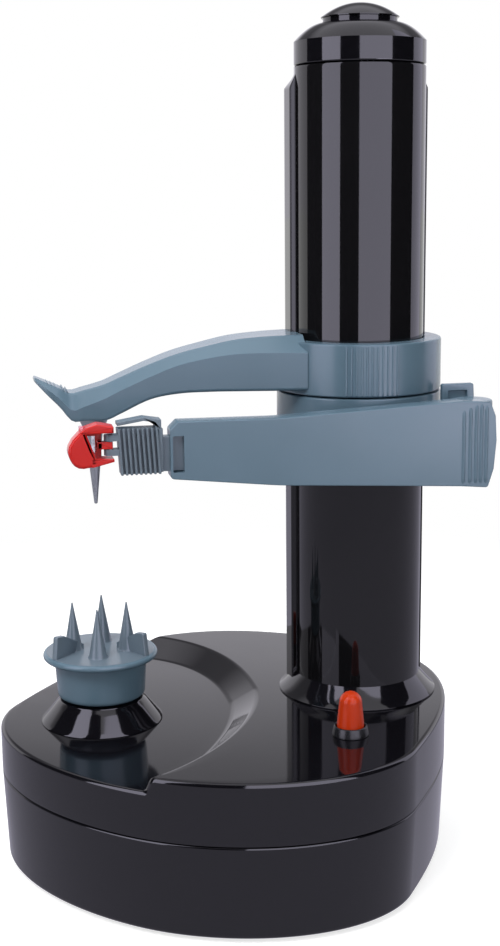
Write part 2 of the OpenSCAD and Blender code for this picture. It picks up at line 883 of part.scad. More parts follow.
module cap() {
    dome_z = column_top + cap_side;
    dome_steps = 10;
    color([0.1, 0.095, 0.11]) place()
        difference() {
            rotate_extrude()
                polygon(concat(
                    [[0, column_top], [column_r, column_top]],
                    [for (i = [0 : dome_steps])
                        let (u = 1 - i / dome_steps)
                        [cap_crown_r + (column_r - cap_crown_r) * u, dome_z + cap_dome * (1 - pow(u, dome_power))]],
                    [[0, dome_z + cap_dome]]
                ));
            translate([0, 0, column_top - over])
                cylinder(r = column_r - cap_wall, h = cap_side - cap_wall + over);
            translate([0, 0, column_top])
                cylinder(r = cap_neck_r + slide / 2, h = cap_side + cap_dome + over);
            translate([0, 0, column_top])
                cylinder(r = cap_flange_r + slide, h = cap_side);
        }
}

module cap_button() {
    top_z = column_top + cap_side + cap_dome + cap_gap;
    brim_h = 0.4;
    flange_z = column_top + cap_side - cap_flange_t - slide;
    dome_steps = 6;
    color([0.1, 0.095, 0.11]) place() {
        rotate_extrude()
            polygon(concat(
                [[0, top_z], [cap_button_r, top_z]],
                [for (i = [0 : dome_steps])
                    let (u = 1 - i / dome_steps)
                    [cap_button_r * u, top_z + brim_h + (cap_button_h - brim_h) * (1 - pow(u, dome_power))]]
            ));
        difference() {
            union() {
                translate([0, 0, flange_z])
                    cylinder(r = cap_neck_r, h = top_z - flange_z + brim_h);
                translate([0, 0, flange_z])
                    cylinder(r = cap_flange_r, h = cap_flange_t);
            }
            // hollow round the hub that rests on the spring
            translate([0, 0, flange_z - over])
                difference() {
                    cylinder(r = cap_neck_r - cap_wall, h = top_z - flange_z - cap_wall);
                    translate([0, 0, -over])
                        cylinder(r = cap_stem_r, h = top_z - flange_z);
                }
        }
    }
}

cap_spring_t = 0.8;

module cap_spring() {
    low_z = screw_top + slide + bearing_t;
    color([0.7, 0.7, 0.72]) place()
        translate([0, 0, low_z])
            difference() {
                cylinder(r = cap_stem_r, h = column_top + cap_side - cap_flange_t - slide - low_z);
                translate([0, 0, -over])
                    cylinder(r = cap_stem_r - cap_spring_t, h = column_top);
            }
}

// Sections of the holder arm from root to lip: share of the reach, of the half width,
// and heights of the underside, the side ridge and the crown as shares of the rise
holder_shares = [
    [0.20, 1.45, 0.32, 0.79, 0.99],
    [0.40, 0.97, 0.32, 0.80, 0.955],
    [0.48, 0.92, 0.32, 0.76, 0.875],
    [0.58, 0.87, 0.305, 0.66, 0.78],
    [0.665, 0.82, 0.24, 0.52, 0.65],
    [0.755, 0.78, 0.07, 0.36, 0.50],
    [0.795, 0.77, 0.00, 0.28, 0.43],
    [0.86, 0.74, 0.00, 0.18, 0.36],
    [0.897, 0.72, 0.00, 0.14, 0.33],
    [0.931, 0.68, 0.17, 0.28, 0.40],
    [0.966, 0.60, 0.32, 0.40, 0.465],
    [1.00, 0.42, 0.475, 0.50, 0.53]
];
crown_share = 0.6;

function holder_ring(s) =
    let (
        x = -holder_reach * s[0],
        w = holder_half_w * s[1],
        low = holder_h - holder_drop + holder_rise * s[2],
        ridge = holder_h - holder_drop + holder_rise * s[3],
        top = holder_h - holder_drop + holder_rise * s[4]
    )
    [[x, -w, low], [x, -w, ridge], [x, -w * crown_share, top], [x, w * crown_share, top], [x, w, ridge], [x, w, low]];

// Solid through a row of rings that have the same number of points
module loft(rings) {
    n = len(rings[0]);
    m = len(rings);
    polyhedron(
        points = [for (r = rings) each r],
        faces = concat(
            [[for (i = [0 : n - 1]) i]],
            [for (k = [0 : m - 2]) for (i = [0 : n - 1])
                [k * n + i, (k + 1) * n + i, (k + 1) * n + (i + 1) % n]],
            [for (k = [0 : m - 2]) for (i = [0 : n - 1])
                [k * n + i, (k + 1) * n + (i + 1) % n, k * n + (i + 1) % n]],
            [[for (i = [n - 1 : -1 : 0]) (m - 1) * n + i]]
        )
    );
}

grip_r = 0.5;
grip_step = 3.5;
grip_start = -113.3;
brake_w = 8;
brake_t = 1.8;
brake_gap = 0.1;
bush_r = 7;
bush_h = 8;
spike_stem_r = 2.5;
spike_flange_r = 4;
spike_flange_h = 1.5;
spike_collar_r = 5.3;
spike_collar_h = 4.5;
nose_low = holder_h - holder_drop;

module holder_arm() {
    color([0.42, 0.5, 0.58]) place()
        difference() {
            union() {
                translate([0, 0, holder_h])
                    cylinder(r = collar_r, h = holder_collar_h);
                loft([for (s = holder_shares) holder_ring(s)]);
                for (i = [0 : grip_count - 1])
                    rotate(grip_start + i * grip_step)
                        translate([collar_r, 0, holder_h + grip_r])
                            cylinder(r = grip_r, h = holder_collar_h - 2 * grip_r);
            }
            translate([0, 0, holder_h - holder_drop])
                linear_extrude(2 * holder_rise)
                    column_bore(slide);
            // pocket for the brake pad at the back
            translate([-brake_w / 2 - seat, column_back_r, holder_h + holder_collar_h / 4 - seat])
                cube([brake_w + 2 * seat, brake_t + slide, holder_collar_h / 2 + 2 * seat]);
            // pocket for the spike's bush
            translate([chuck_x, 0, nose_low - over])
                cylinder(r = bush_r + seat, h = bush_h + over);
        }
}

module holder_brake() {
    color([0.16, 0.16, 0.16]) place()
        translate([-brake_w / 2, column_back_r + brake_gap, holder_h + holder_collar_h / 4])
            cube([brake_w, brake_t + slide - brake_gap, holder_collar_h / 2]);
}

module spike_bush() {
    color([0.3, 0.33, 0.36]) place() at_chuck()
        translate([0, 0, nose_low])
            difference() {
                cylinder(r = bush_r, h = bush_h - spike_flange_h - 2 * slide);
                translate([0, 0, -over])
                    cylinder(r = spike_stem_r + fit, h = bush_h + over);
            }
}

module top_spike() {
    tip_r = 0.6;
    flange_z = nose_low + bush_h - spike_flange_h - slide;
    color([0.68, 0.7, 0.72]) place() at_chuck() {
        translate([0, 0, nose_low - slide - spike_collar_h - top_spike_l])
            cylinder(r1 = tip_r, r2 = top_spike_r, h = top_spike_l);
        translate([0, 0, nose_low - slide - spike_collar_h])
            cylinder(r1 = top_spike_r, r2 = spike_collar_r, h = spike_collar_h);
        translate([0, 0, nose_low - slide])
            cylinder(r = spike_stem_r, h = flange_z + spike_flange_h - nose_low + slide);
        translate([0, 0, flange_z])
            cylinder(r = spike_flange_r, h = spike_flange_h);
    }
}

// Carriage, its hinge knuckle and the bracket of the release tab
arm_mid = carriage_h + carriage_collar_h / 2;
knuckle_half_h = 5.7;
knuckle_r = 3.2;
web_half_w = 2.6;
web_step = 0.5;
hinge_y = -arm_front + barrel_r;
tab_x = 24.6;
tab_w = 11.7;
tab_front = -21;
tab_block_l = 10;
tab_travel = 2;
tab_block_h = 6;
tab_rise = 13.1;
tab_floor = carriage_h + tab_rise;
tab_t = 2.2;
tab_lip = 0.8;
tab_h = 18.5;
bracket_wall = 1.8;
nut_w = 7;
nut_h = 12;
nut_outer = 29.3;

module carriage() {
    web_l = norm([hinge_x, hinge_y]);
    color([0.4, 0.48, 0.56]) place()
        difference() {
            union() {
                translate([0, 0, carriage_h])
                    cylinder(r = collar_r, h = carriage_collar_h);
                // web out to the hinge knuckle
                translate([0, 0, arm_mid - knuckle_half_h + web_step])
                    rotate(atan2(hinge_y, hinge_x))
                        translate([0, -web_half_w, 0])
                            cube([web_l, 2 * web_half_w, 2 * (knuckle_half_h - web_step)]);
                translate([hinge_x, hinge_y, arm_mid - knuckle_half_h])
                    cylinder(r = knuckle_r, h = 2 * knuckle_half_h);
                // bracket with the tab's channel
                translate([0, tab_front, tab_floor - bracket_wall])
                    cube([tab_x + tab_w + bracket_wall, tab_block_l + tab_travel + slide + bracket_wall,
                        tab_block_h + bracket_wall]);
            }
            translate([0, 0, carriage_h - over])
                linear_extrude(carriage_collar_h + 2 * over)
                    column_bore(slide);
            translate([tab_x, tab_front - over, tab_floor])
                cube([tab_w, over + tab_block_l + tab_travel + slide, tab_block_h + over]);
            translate([hinge_x, hinge_y, arm_mid - knuckle_half_h - over])
                cylinder(r = hinge_pin_r + seat, h = 2 * knuckle_half_h + 2 * over);
            translate([-nut_w / 2 - fit, 0, arm_mid - nut_h / 2 - fit])
                cube([nut_w + 2 * fit, 2 * collar_r, nut_h + 2 * fit]);
        }
}

module half_nut() {
    bore_r = screw_r + slide;
    color([0.9, 0.88, 0.8]) place()
        difference() {
            translate([-nut_w / 2, 0, arm_mid - nut_h / 2])
                cube([nut_w, nut_outer, nut_h]);
            translate([0, 0, arm_mid - nut_h / 2 - over])
                cylinder(r = bore_r, h = nut_h + 2 * over);
        }
}

module release_tab() {
    window_margin = 2.3;
    color([0.42, 0.5, 0.58]) place() translate([tab_x, tab_front, tab_floor])
        difference() {
            union() {
                translate([slide / 2, 0, slide / 2])
                    cube([tab_w - slide, tab_block_l, tab_block_h - slide / 2]);
                translate([0, tab_t, 0])
                    rotate([90, 0, 0])
                        linear_extrude(tab_t)
                            polygon([[slide / 2, slide / 2], [tab_w - slide / 2, slide / 2],
                                [tab_w - slide / 2, tab_block_h], [tab_w + tab_lip, tab_block_h + slide],
                                [tab_w, tab_h], [0, tab_h], [0, tab_block_h + slide],
                                [slide / 2, tab_block_h]]);
            }
            translate([window_margin, -over, tab_block_h + 2 * window_margin])
                cube([tab_w - 2 * window_margin, over + tab_t / 2, tab_h - tab_block_h - 3 * window_margin]);
        }
}

module hinge_pin() {
    color([0.72, 0.72, 0.74]) place()
        translate([hinge_x, hinge_y, carriage_h])
            cylinder(r = hinge_pin_r, h = carriage_collar_h - barrel_short - slide);
}

barrel_short = 0.6;
arm_spring_h = 4;
arm_spring_t = 0.9;

module arm_spring() {
    color([0.7, 0.7, 0.72]) place()
        translate([hinge_x, hinge_y, arm_mid + knuckle_half_h])
            difference() {
                cylinder(r = hinge_pin_r + fit + arm_spring_t, h = arm_spring_h);
                translate([0, 0, -over])
                    cylinder(r = hinge_pin_r + fit, h = arm_spring_h + 2 * over);
            }
}

// Heights of the arm's outline as shares of the collar height, at shares of its reach
arm_top_shares = [[-1, 0.885], [-0.5, 0.875], [-0.25, 0.91], [0, 0.945], [0.2, 0.975], [0.34, 0.995]];
// The rounded right end, at shares of the barrel's radius from the hinge
arm_end_shares = [[0.62, 0.975], [0.9, 0.8], [0.97, 0.5], [0.85, 0.15], [0.56, -0.08]];
arm_low_shares = [[0.34, -0.05], [0, 0], [-0.25, 0.035], [-0.5, 0.07], [-1, 0.21]];
socket_l = 10.5;
socket_h = 12;
socket_t = 4.4;
arm_hollow_x = 21.5;
slot_x_share = 0.95;
slot_w = 3;
slot_h = 12.5;
grip_rib_shares = [-0.73, -0.4, -0.1, 0.16, 0.42];
grip_rib_r = 0.5;

module peeling_arm() {
    low = carriage_h;
    rise = carriage_collar_h;
    skin = arm_front - knuckle_r - slide + hinge_y;
    color([0.42, 0.5, 0.58]) place()
        difference() {
            union() {
                translate([0, -arm_front + arm_t, 0])
                    rotate([90, 0, 0])
                        linear_extrude(arm_t)
                            polygon(concat(
                                [for (s = arm_top_shares) [arm_reach * s[0], low + rise * s[1]]],
                                [for (s = arm_end_shares) [hinge_x + barrel_r * s[0], low + rise * s[1]]],
                                [for (s = arm_low_shares) [arm_reach * s[0], low + rise * s[1]]]
                            ));
                translate([hinge_x, hinge_y, low])
                    cylinder(r = barrel_r, h = rise - barrel_short);
                for (s = grip_rib_shares)
                    translate([hinge_x + barrel_r * s, -arm_front, low + rise * 0.1])
                        cylinder(r = grip_rib_r, h = rise * 0.72);
            }
            // room for the carriage's knuckle and web, open to the back
            translate([arm_hollow_x, -arm_front + skin, arm_mid - knuckle_half_h - slide])
                cube([hinge_x + 2 * barrel_r, 4 * barrel_r, 2 * (knuckle_half_h + slide)]);
            translate([hinge_x, hinge_y, low - over])
                cylinder(r = hinge_pin_r + fit, h = rise + 2 * over);
            translate([hinge_x, hinge_y, arm_mid + knuckle_half_h])
                cylinder(r = hinge_pin_r + arm_spring_t + slide, h = arm_spring_h + slide);
            // socket for the cartridge's tongue, and its window in the front
            translate([-arm_reach - over, -arm_front + (arm_t - socket_t) / 2, arm_mid - socket_h / 2])
                cube([socket_l + over, socket_t, socket_h]);
            translate([-arm_reach * slot_x_share - slot_w / 2, -arm_front - over, arm_mid - slot_h / 2])
                cube([slot_w, over + arm_t / 2, slot_h]);
        }
}

tongue_gap = 0.15;
neck_l = 1.6;
cartridge_t = 6.6;
lug_l = 4.4;
lug_t = 2;
lug_gap = 2.8;
guard_pin_r = 0.8;
lug_r = 2.2;

grip_left = -arm_reach - neck_l - cartridge_l;
pivot_x = grip_left - lug_r;
pivot_inset = 2.6;
pivot_y = -arm_front + pivot_inset;
pivot_lift = 3.8;
pivot_z = arm_mid + pivot_lift;
guard_t = 7;
guard_drop = 7.25;
guard_nose_l = 6;
guard_floor_share = 0.2;
guard_roof_share = 0.79;
// Front view of the guard: shares of its length from the nose and of its height
guard_shares = [[0, 0.4], [0.012, 0.31], [0.04, 0.22], [0.08, 0.14], [0.135, 0.07], [0.22, 0.015], [0.33, 0],
    [0.6, 0.04], [1, 0.14], [1, 0.93], [0.8, 0.975], [0.64, 1], [0.39, 0.92], [0.24, 0.8], [0.1, 0.65],
    [0.02, 0.51]];
guard_heel = 0.9;
guard_tongue_gap = 0.2;
guard_wall = 1.6;
guard_window_l = 3.3;
guard_window_h = 5.5;
cartridge_lift = 1.35;
// Front view of the release lever: shares of the grip's length and of the lever's rise
lever_shares = [[0, 0.28], [0.6, 0.68], [0.86, 0.5], [0.86, -0.2], [1, -0.2], [1, 0.74], [0.9, 0.8],
    [0.6, 1], [0, 0.6]];
cartridge_mid = arm_mid + cartridge_lift;

module cartridge() {
    rib_step = cartridge_l / cartridge_ribs;
    rib_w = rib_step * 0.55;
    rib_depth = 0.6;
    front = -arm_front + (arm_t - cartridge_t) / 2 - rib_depth;
    color([0.45, 0.53, 0.6]) place()
        difference() {
            union() {
                // grip with slanting ribs
                translate([grip_left, front + rib_depth, cartridge_mid - cartridge_h / 2])
                    cube([cartridge_l, cartridge_t - rib_depth, cartridge_h]);
                for (i = [0 : cartridge_ribs - 1])
                    translate([grip_left + i * rib_step, front, cartridge_mid - cartridge_h / 2])
                        cube([rib_w, 2 * rib_depth, cartridge_h]);
                // neck and tongue into the arm
                translate([-arm_reach - neck_l - over, -arm_front + (arm_t - socket_t) / 2 + tongue_gap,
                        arm_mid - socket_h / 2 + tongue_gap])
                    cube([neck_l + over + socket_l - slide, socket_t - 2 * tongue_gap,
                        socket_h - 2 * tongue_gap]);
                // release lever that springs up over the grip
                translate([grip_left, front + cartridge_t, cartridge_mid + cartridge_h / 2])
                    rotate([90, 0, 0])
                        linear_extrude(cartridge_t - 2 * rib_depth)
                            polygon([for (p = lever_shares) [cartridge_l * p[0], lever_rise * p[1]]]);
                // two lugs that carry the guard's pivot pin
                for (side = [-1, 1]) {
                    translate([pivot_x, pivot_y - lug_r, pivot_z + side * (lug_gap + lug_t) / 2 - lug_t / 2])
                        cube([lug_l, 2 * lug_r, lug_t]);
                    translate([pivot_x, pivot_y, pivot_z + side * (lug_gap + lug_t) / 2 - lug_t / 2])
                        cylinder(r = lug_r, h = lug_t);
                }
            }
            translate([pivot_x, pivot_y, arm_mid - cartridge_h])
                cylinder(r = guard_pin_r + seat, h = 2 * cartridge_h);
        }
}

module guard_pin() {
    color([0.72, 0.72, 0.74]) place()
        translate([pivot_x, pivot_y, pivot_z - lug_gap / 2 - lug_t])
            cylinder(r = guard_pin_r, h = lug_gap + 2 * lug_t);
}

module guard() {
    left = pivot_x + guard_heel - guard_l;
    low = pivot_z - guard_drop;
    tongue_t = lug_gap - 2 * guard_tongue_gap;
    back = pivot_y + guard_t / 2;
    lug_room_x = pivot_x - lug_r - 2 * slide;
    color([0.78, 0.16, 0.15]) place()
        difference() {
            union() {
                difference() {
                    translate([left, back, low])
                        rotate([90, 0, 0])
                            linear_extrude(guard_t)
                                polygon([for (p = guard_shares) [guard_l * p[0], guard_h * p[1]]]);
                    // trough behind the nose, open to the front
                    translate([left + guard_nose_l, back - guard_wall - guard_t, low + guard_h * guard_floor_share])
                        cube([guard_l, guard_t, guard_h * (guard_roof_share - guard_floor_share)]);
                    // room for the two lugs
                    translate([lug_room_x, back - 2 * guard_t, low + guard_h * guard_floor_share])
                        cube([guard_l, 3 * guard_t, guard_h * (guard_roof_share - guard_floor_share)]);
                    // window that shows the blade
                    translate([left + guard_nose_l, pivot_y - guard_t, pivot_z - guard_window_h / 2])
                        cube([guard_window_l, 2 * guard_t, guard_window_h]);
                }
                // tongue between the lugs
                translate([lug_room_x - guard_wall, pivot_y - lug_r + slide, pivot_z - tongue_t / 2])
                    cube([guard_wall, guard_t / 2 + lug_r - slide, tongue_t]);
                translate([lug_room_x - slide, pivot_y - lug_r + slide, pivot_z - tongue_t / 2])
                    cube([pivot_x - lug_room_x + slide, 2 * (lug_r - slide), tongue_t]);
                translate([pivot_x, pivot_y, pivot_z - tongue_t / 2])
                    cylinder(r = lug_r - slide, h = tongue_t);
            }
            translate([pivot_x, pivot_y, arm_mid - cartridge_h])
                cylinder(r = guard_pin_r + fit, h = 2 * cartridge_h);
        }
}

slit_w = 1.2;
blade_t = 0.6;
blade_l = 7;
blade_h = 12;

module blade() {
    color([0.8, 0.81, 0.83]) place()
        translate([pivot_x + guard_heel - guard_l + guard_nose_l + (guard_window_l - blade_l) / 2,
                pivot_y + guard_t / 2, pivot_z - blade_h / 2])
            difference() {
                cube([blade_l, blade_t, blade_h]);
                translate([blade_l / 2 - slit_w / 2, -over, blade_t * 2])
                    cube([slit_w, blade_t + 2 * over, blade_h - 4 * blade_t]);
            }
}

module start_button() {
    taper_h = button_tip - button_top_r;
    dome_steps = 5;
    color([0.8, 0.22, 0.1]) place() translate([button_x, button_y, 0]) {
        rotate_extrude()
            polygon(concat(
                [[0, button_flange_z + button_flange_t / 2], [button_r, button_flange_z + button_flange_t / 2],
                    [button_r, deck_h + button_collar_h]],
                [for (i = [0 : dome_steps])
                    let (t = 90 * i / dome_steps)
                    [button_top_r * cos(t), deck_h + taper_h + button_top_r * sin(t)]]
            ));
        translate([0, 0, button_flange_z])
            cylinder(r = button_flange_r, h = button_flange_t);
    }
}

module button_collar() {
    rim = 0.6;
    color([0.08, 0.08, 0.09]) place() translate([button_x, button_y, deck_h])
        difference() {
            cylinder(r1 = button_collar_r, r2 = button_collar_r - rim, h = button_collar_h);
            translate([0, 0, -over])
                cylinder(r = button_hole_r, h = button_collar_h + 2 * over);
        }
}

module button_spring() {
    color([0.7, 0.7, 0.72]) place() translate([button_x, button_y, board_top])
        difference() {
            cylinder(r = button_spring_r, h = button_flange_z - board_top);
            translate([0, 0, -over])
                cylinder(r = button_spring_r - button_spring_t, h = deck_h);
        }
}

module start_switch() {
    color([0.12, 0.12, 0.13]) place() translate([button_x, button_y, board_top]) {
        translate([-switch_w / 2, -switch_w / 2, 0])
            cube([switch_w, switch_w, switch_h]);
        cylinder(r = plunger_r, h = plunger_top - board_top);
    }
}

module circuit_board() {
    color([0.1, 0.36, 0.2]) place()
        translate([button_x - board_l / 2, button_y - board_w / 2, board_top - board_t])
            cube([board_l, board_w, board_t]);
}

base_lower();
base_upper();
battery_door();
foot(0);  // foot_1
foot(1);  // foot_2
foot(2);  // foot_3
foot(3);  // foot_4
battery(0);  // battery_1
battery(1);  // battery_2
battery(2);  // battery_3
battery(3);  // battery_4
battery_contacts();
power_jack();
base_screws();
gear_plate();
idler_pin(idler_1_x);  // idler_pin_1
idler_pin(idler_2_x);  // idler_pin_2
motor_can();
motor_shaft();
motor_pinion();
idler_gear_1();
idler_gear_2();
chuck_gear();
chuck_shaft();
lead_screw();
screw_gear();
top_bearing();
chuck_cone();
food_cup();
food_spikes();
column_front();
column_rear();
column_skirt();
cap();
cap_button();
cap_spring();
holder_arm();
holder_brake();
spike_bush();
top_spike();
carriage();
half_nut();
release_tab();
hinge_pin();
arm_spring();
peeling_arm();
cartridge();
guard();
guard_pin();
blade();
start_button();
button_collar();
button_spring();
start_switch();
circuit_board();
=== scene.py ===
import json
import math
import bpy
import bmesh
from mathutils import Vector, Matrix


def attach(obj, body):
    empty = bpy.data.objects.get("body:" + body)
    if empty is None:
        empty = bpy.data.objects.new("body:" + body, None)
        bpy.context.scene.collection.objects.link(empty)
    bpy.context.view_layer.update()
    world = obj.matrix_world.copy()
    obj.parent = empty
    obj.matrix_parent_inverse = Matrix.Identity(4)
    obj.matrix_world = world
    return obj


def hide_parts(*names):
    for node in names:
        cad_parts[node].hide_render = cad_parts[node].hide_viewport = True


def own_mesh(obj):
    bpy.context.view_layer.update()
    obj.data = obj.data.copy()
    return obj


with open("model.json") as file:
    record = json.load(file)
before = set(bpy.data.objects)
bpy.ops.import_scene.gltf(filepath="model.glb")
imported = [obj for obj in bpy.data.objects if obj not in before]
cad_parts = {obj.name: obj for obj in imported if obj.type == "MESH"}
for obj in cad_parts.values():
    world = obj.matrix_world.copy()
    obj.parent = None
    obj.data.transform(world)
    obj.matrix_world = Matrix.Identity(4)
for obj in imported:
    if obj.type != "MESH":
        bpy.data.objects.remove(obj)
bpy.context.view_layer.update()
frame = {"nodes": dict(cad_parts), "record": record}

# Lengths are millimetres about the column's axis and angles are degrees, unless a line says otherwise.
FX, FY, FZ = 47.0, 2.7, 1.5          # the column's axis and the shell's bottom in the part's frame
CHUCK = -96.0                        # x of the chuck's axis
scene = bpy.context.scene


def L(x, y, z):
    """Column-centred millimetres to the part's frame in metres."""
    return ((x + FX) / 1000, (y + FY) / 1000, (z + FZ) / 1000)


# ---------------------------------------------------------------- materials
def node(tree, kind, **inputs):
    n = tree.nodes.new(kind)
    for k, v in inputs.items():
        n.inputs[k].default_value = v
    return n

def bare_tree(owner, kind="ShaderNodeOutputMaterial"):
    """Empties the node tree of a material or a world; gives the tree and its output's socket."""
    owner.use_nodes = True
    tree = owner.node_tree
    tree.nodes.clear()
    return tree, tree.nodes.new(kind).inputs["Surface"]


def material(name, color, rough=0.3, spread=0.05, metallic=0.0, ior=1.46, grain=900.0, bump=0.02,
             tint=0.04, spec=0.5, wave=0.0):
    """Colour and roughness wander slowly, grain is a fine bump, and wave adds turning marks."""
    m = bpy.data.materials.new(name)
    t, surface = bare_tree(m)
    b = t.nodes.new("ShaderNodeBsdfPrincipled")
    t.links.new(b.outputs["BSDF"], surface)
    b.inputs["Metallic"].default_value = metallic
    b.inputs["IOR"].default_value = ior
    b.inputs["Specular IOR Level"].default_value = spec
    where = t.nodes.new("ShaderNodeTexCoord")
    big = node(t, "ShaderNodeTexNoise", Scale=38.0, Detail=3.0, Roughness=0.55)
    fine = node(t, "ShaderNodeTexNoise", Scale=grain, Detail=4.0, Roughness=0.6)
    for n in (big, fine):
        t.links.new(where.outputs["Object"], n.inputs["Vector"])
    ramp = t.nodes.new("ShaderNodeMapRange")
    ramp.inputs["From Min"].default_value = 0.3
    ramp.inputs["From Max"].default_value = 0.7
    ramp.inputs["To Min"].default_value = max(0.02, rough - spread)
    ramp.inputs["To Max"].default_value = rough + spread
    t.links.new(big.outputs["Fac"], ramp.inputs["Value"])
    t.links.new(ramp.outputs["Result"], b.inputs["Roughness"])
    mix = t.nodes.new("ShaderNodeMix")
    mix.data_type = "RGBA"
    mix.inputs[6].default_value = (*[c * (1 - tint) for c in color], 1)
    mix.inputs[7].default_value = (*[min(1, c * (1 + tint)) for c in color], 1)
    t.links.new(big.outputs["Fac"], mix.inputs[0])
    t.links.new(mix.outputs[2], b.inputs["Base Color"])
    bumped = node(t, "ShaderNodeBump", Strength=bump, Distance=0.0004)
    t.links.new(fine.outputs["Fac"], bumped.inputs["Height"])
    t.links.new(bumped.outputs["Normal"], b.inputs["Normal"])
    if wave:
        turned = node(t, "ShaderNodeTexWave", Scale=wave, Distortion=1.5, Detail=2.0)
        t.links.new(where.outputs["Object"], turned.inputs["Vector"])
        second = node(t, "ShaderNodeBump", Strength=bump * 2, Distance=0.0003)
        t.links.new(turned.outputs["Fac"], second.inputs["Height"])
        t.links.new(bumped.outputs["Normal"], second.inputs["Normal"])
        t.links.new(second.outputs["Normal"], b.inputs["Normal"])
    return m


M = {
    "black_shell": material("polished_black", (0.0045, 0.0042, 0.006), 0.07, 0.018, bump=0.004,
                            grain=300, tint=0.1, ior=1.58),
    "black_column": material("column_black", (0.0065, 0.0062, 0.0072), 0.06, 0.015, bump=0.003,
                             grain=220, tint=0.1, ior=1.5),
    "blue_grey": material("blue_grey_satin", (0.119, 0.191, 0.25), 0.22, 0.03, bump=0.012,
                          tint=0.035, ior=1.47),
    "blue_grey_light": material("grey_satin", (0.15, 0.195, 0.24), 0.23, 0.035, bump=0.012,
                                tint=0.035, ior=1.47),
    # Painted highlight: the collar's ridges get a lighter colour that stands in for the bright reflections
    # along their crests.
    "ridge_painted_highlight": material("ridge_painted_highlight", (0.44, 0.52, 0.58), 0.2, 0.03, bump=0.012,
                                tint=0.035, ior=1.5),
    "red_guard": material("red_gloss", (0.66, 0.018, 0.014), 0.18, 0.03, bump=0.012,
                          tint=0.05, spec=0.35),
    "orange_button": material("orange_red_gloss", (0.60, 0.043, 0.006), 0.2, 0.03, bump=0.01,
                              tint=0.05, spec=0.25),
    "dark_plastic": material("dark_grained", (0.012, 0.012, 0.014), 0.28, 0.06, bump=0.04, grain=1400),
    "rubber_foot": material("rubber", (0.02, 0.02, 0.02), 0.75, 0.08, bump=0.15, grain=1200),
    "cell": material("cell_jacket", (0.05, 0.06, 0.08), 0.35, 0.06, metallic=0.3, bump=0.03),
    "spring_steel": material("spring_wire", (0.6, 0.6, 0.62), 0.25, 0.06, metallic=1.0,
                             bump=0.04, wave=600),
    "steel": material("ground_steel", (0.56, 0.56, 0.58), 0.28, 0.08, metallic=1.0,
                      bump=0.05, wave=900),
    "bright_metal": material("satin_steel", (0.33, 0.35, 0.37), 0.34, 0.06, metallic=0.75,
                             bump=0.05, wave=700),
    "blade_steel": material("blade_edge", (0.72, 0.73, 0.75), 0.16, 0.05, metallic=1.0,
                            bump=0.03, wave=900),
    "motor_steel": material("drawn_can", (0.5, 0.51, 0.53), 0.32, 0.08, metallic=1.0,
                            bump=0.05, wave=500),
    "brass_gear": material("cut_brass", (0.62, 0.45, 0.16), 0.28, 0.07, metallic=1.0, bump=0.04),
    "gear_plastic": material("gear_nylon", (0.62, 0.58, 0.47), 0.48, 0.07, bump=0.05),
    "board_green": material("solder_resist", (0.02, 0.12, 0.05), 0.35, 0.08, bump=0.08, grain=700),
}


# ---------------------------------------------------------------- mesh helpers
def finish_mesh(ob, sharp=32.0):
    """Smooth shading; edges that turn by more than sharp degrees stay sharp."""
    me = ob.data
    me.shade_smooth()
    me.set_sharp_from_angle(angle=math.radians(sharp))


def make(name, verts, faces, slot, sharp=32.0):
    """Welded object from points in millimetres, with its material slot."""
    me = bpy.data.meshes.new(name)
    me.from_pydata([L(*v) for v in verts], [], faces)
    bm = bmesh.new()
    bm.from_mesh(me)
    bmesh.ops.remove_doubles(bm, verts=bm.verts, dist=2e-6)
    bmesh.ops.recalc_face_normals(bm, faces=bm.faces)
    bm.to_mesh(me)
    bm.free()
    ob = bpy.data.objects.new(name, me)
    scene.collection.objects.link(ob)
    me.materials.append(M[slot])
    ob["slot_name"] = slot
    finish_mesh(ob, sharp)
    return ob


def rings(name, loops, slot, cap=(True, True), sharp=32.0, closed=False):
    """Skin over a list of loops that have the same number of points."""
    n = len(loops[0])
    verts = [p for r in loops for p in r]
    faces = []
    m = len(loops)
    for k in range(m if closed else m - 1):
        a, b = k * n, ((k + 1) % m) * n
        for i in range(n):
            j = (i + 1) % n
            faces.append((a + i, a + j, b + j, b + i))
    if cap[0] and not closed:
        faces.append(tuple(reversed(range(n))))
    if cap[1] and not closed:
        faces.append(tuple((m - 1) * n + i for i in range(n)))
    return make(name, verts, faces, slot, sharp)


def circle(cx, cy, r, n):
    """The n corners of a circle, from the side of the first axis."""
    angles = [2 * math.pi * i / n for i in range(n)]
    return [(cx + r * math.cos(a), cy + r * math.sin(a)) for a in angles]


def revolve(name, profile, slot, at=(0, 0, 0), n=160, sharp=32.0, closed=False):
    """Profile is a list of (radius, z); the ends are capped unless it is closed."""
    loops = [[(x, y, at[2] + z) for x, y in circle(at[0], at[1], r, n)] for r, z in profile]
    return rings(name, loops, slot, (True, True), sharp, closed)


def arc(cx, cz, r, a0, a1, n=6):
    """Points along an arc, in n equal steps."""
    return [(cx + r * math.cos(math.radians(a0 + (a1 - a0) * k / n)),
             cz + r * math.sin(math.radians(a0 + (a1 - a0) * k / n))) for k in range(n + 1)]


def round_poly(pts, radii, seg=5):
    """Polygon with every corner rounded; always the same number of points."""
    out = []
    n = len(pts)
    for i in range(n):
        p, a, b = Vector(pts[i]), Vector(pts[i - 1]), Vector(pts[(i + 1) % n])
        u, v = (a - p), (b - p)
        lu, lv = u.length, v.length
        u, v = u / lu, v / lv
        half = math.acos(max(-1, min(1, u.dot(v)))) / 2
        r = radii[i] if isinstance(radii, (list, tuple)) else radii
        cut = min(r / max(math.tan(half), 1e-3), 0.48 * min(lu, lv))
        s, e = p + u * cut, p + v * cut
        for k in range(seg + 1):
            t = k / seg
            q = s * (1 - t) ** 2 + p * 2 * t * (1 - t) + e * t * t
            out.append((q.x, q.y))
    return out


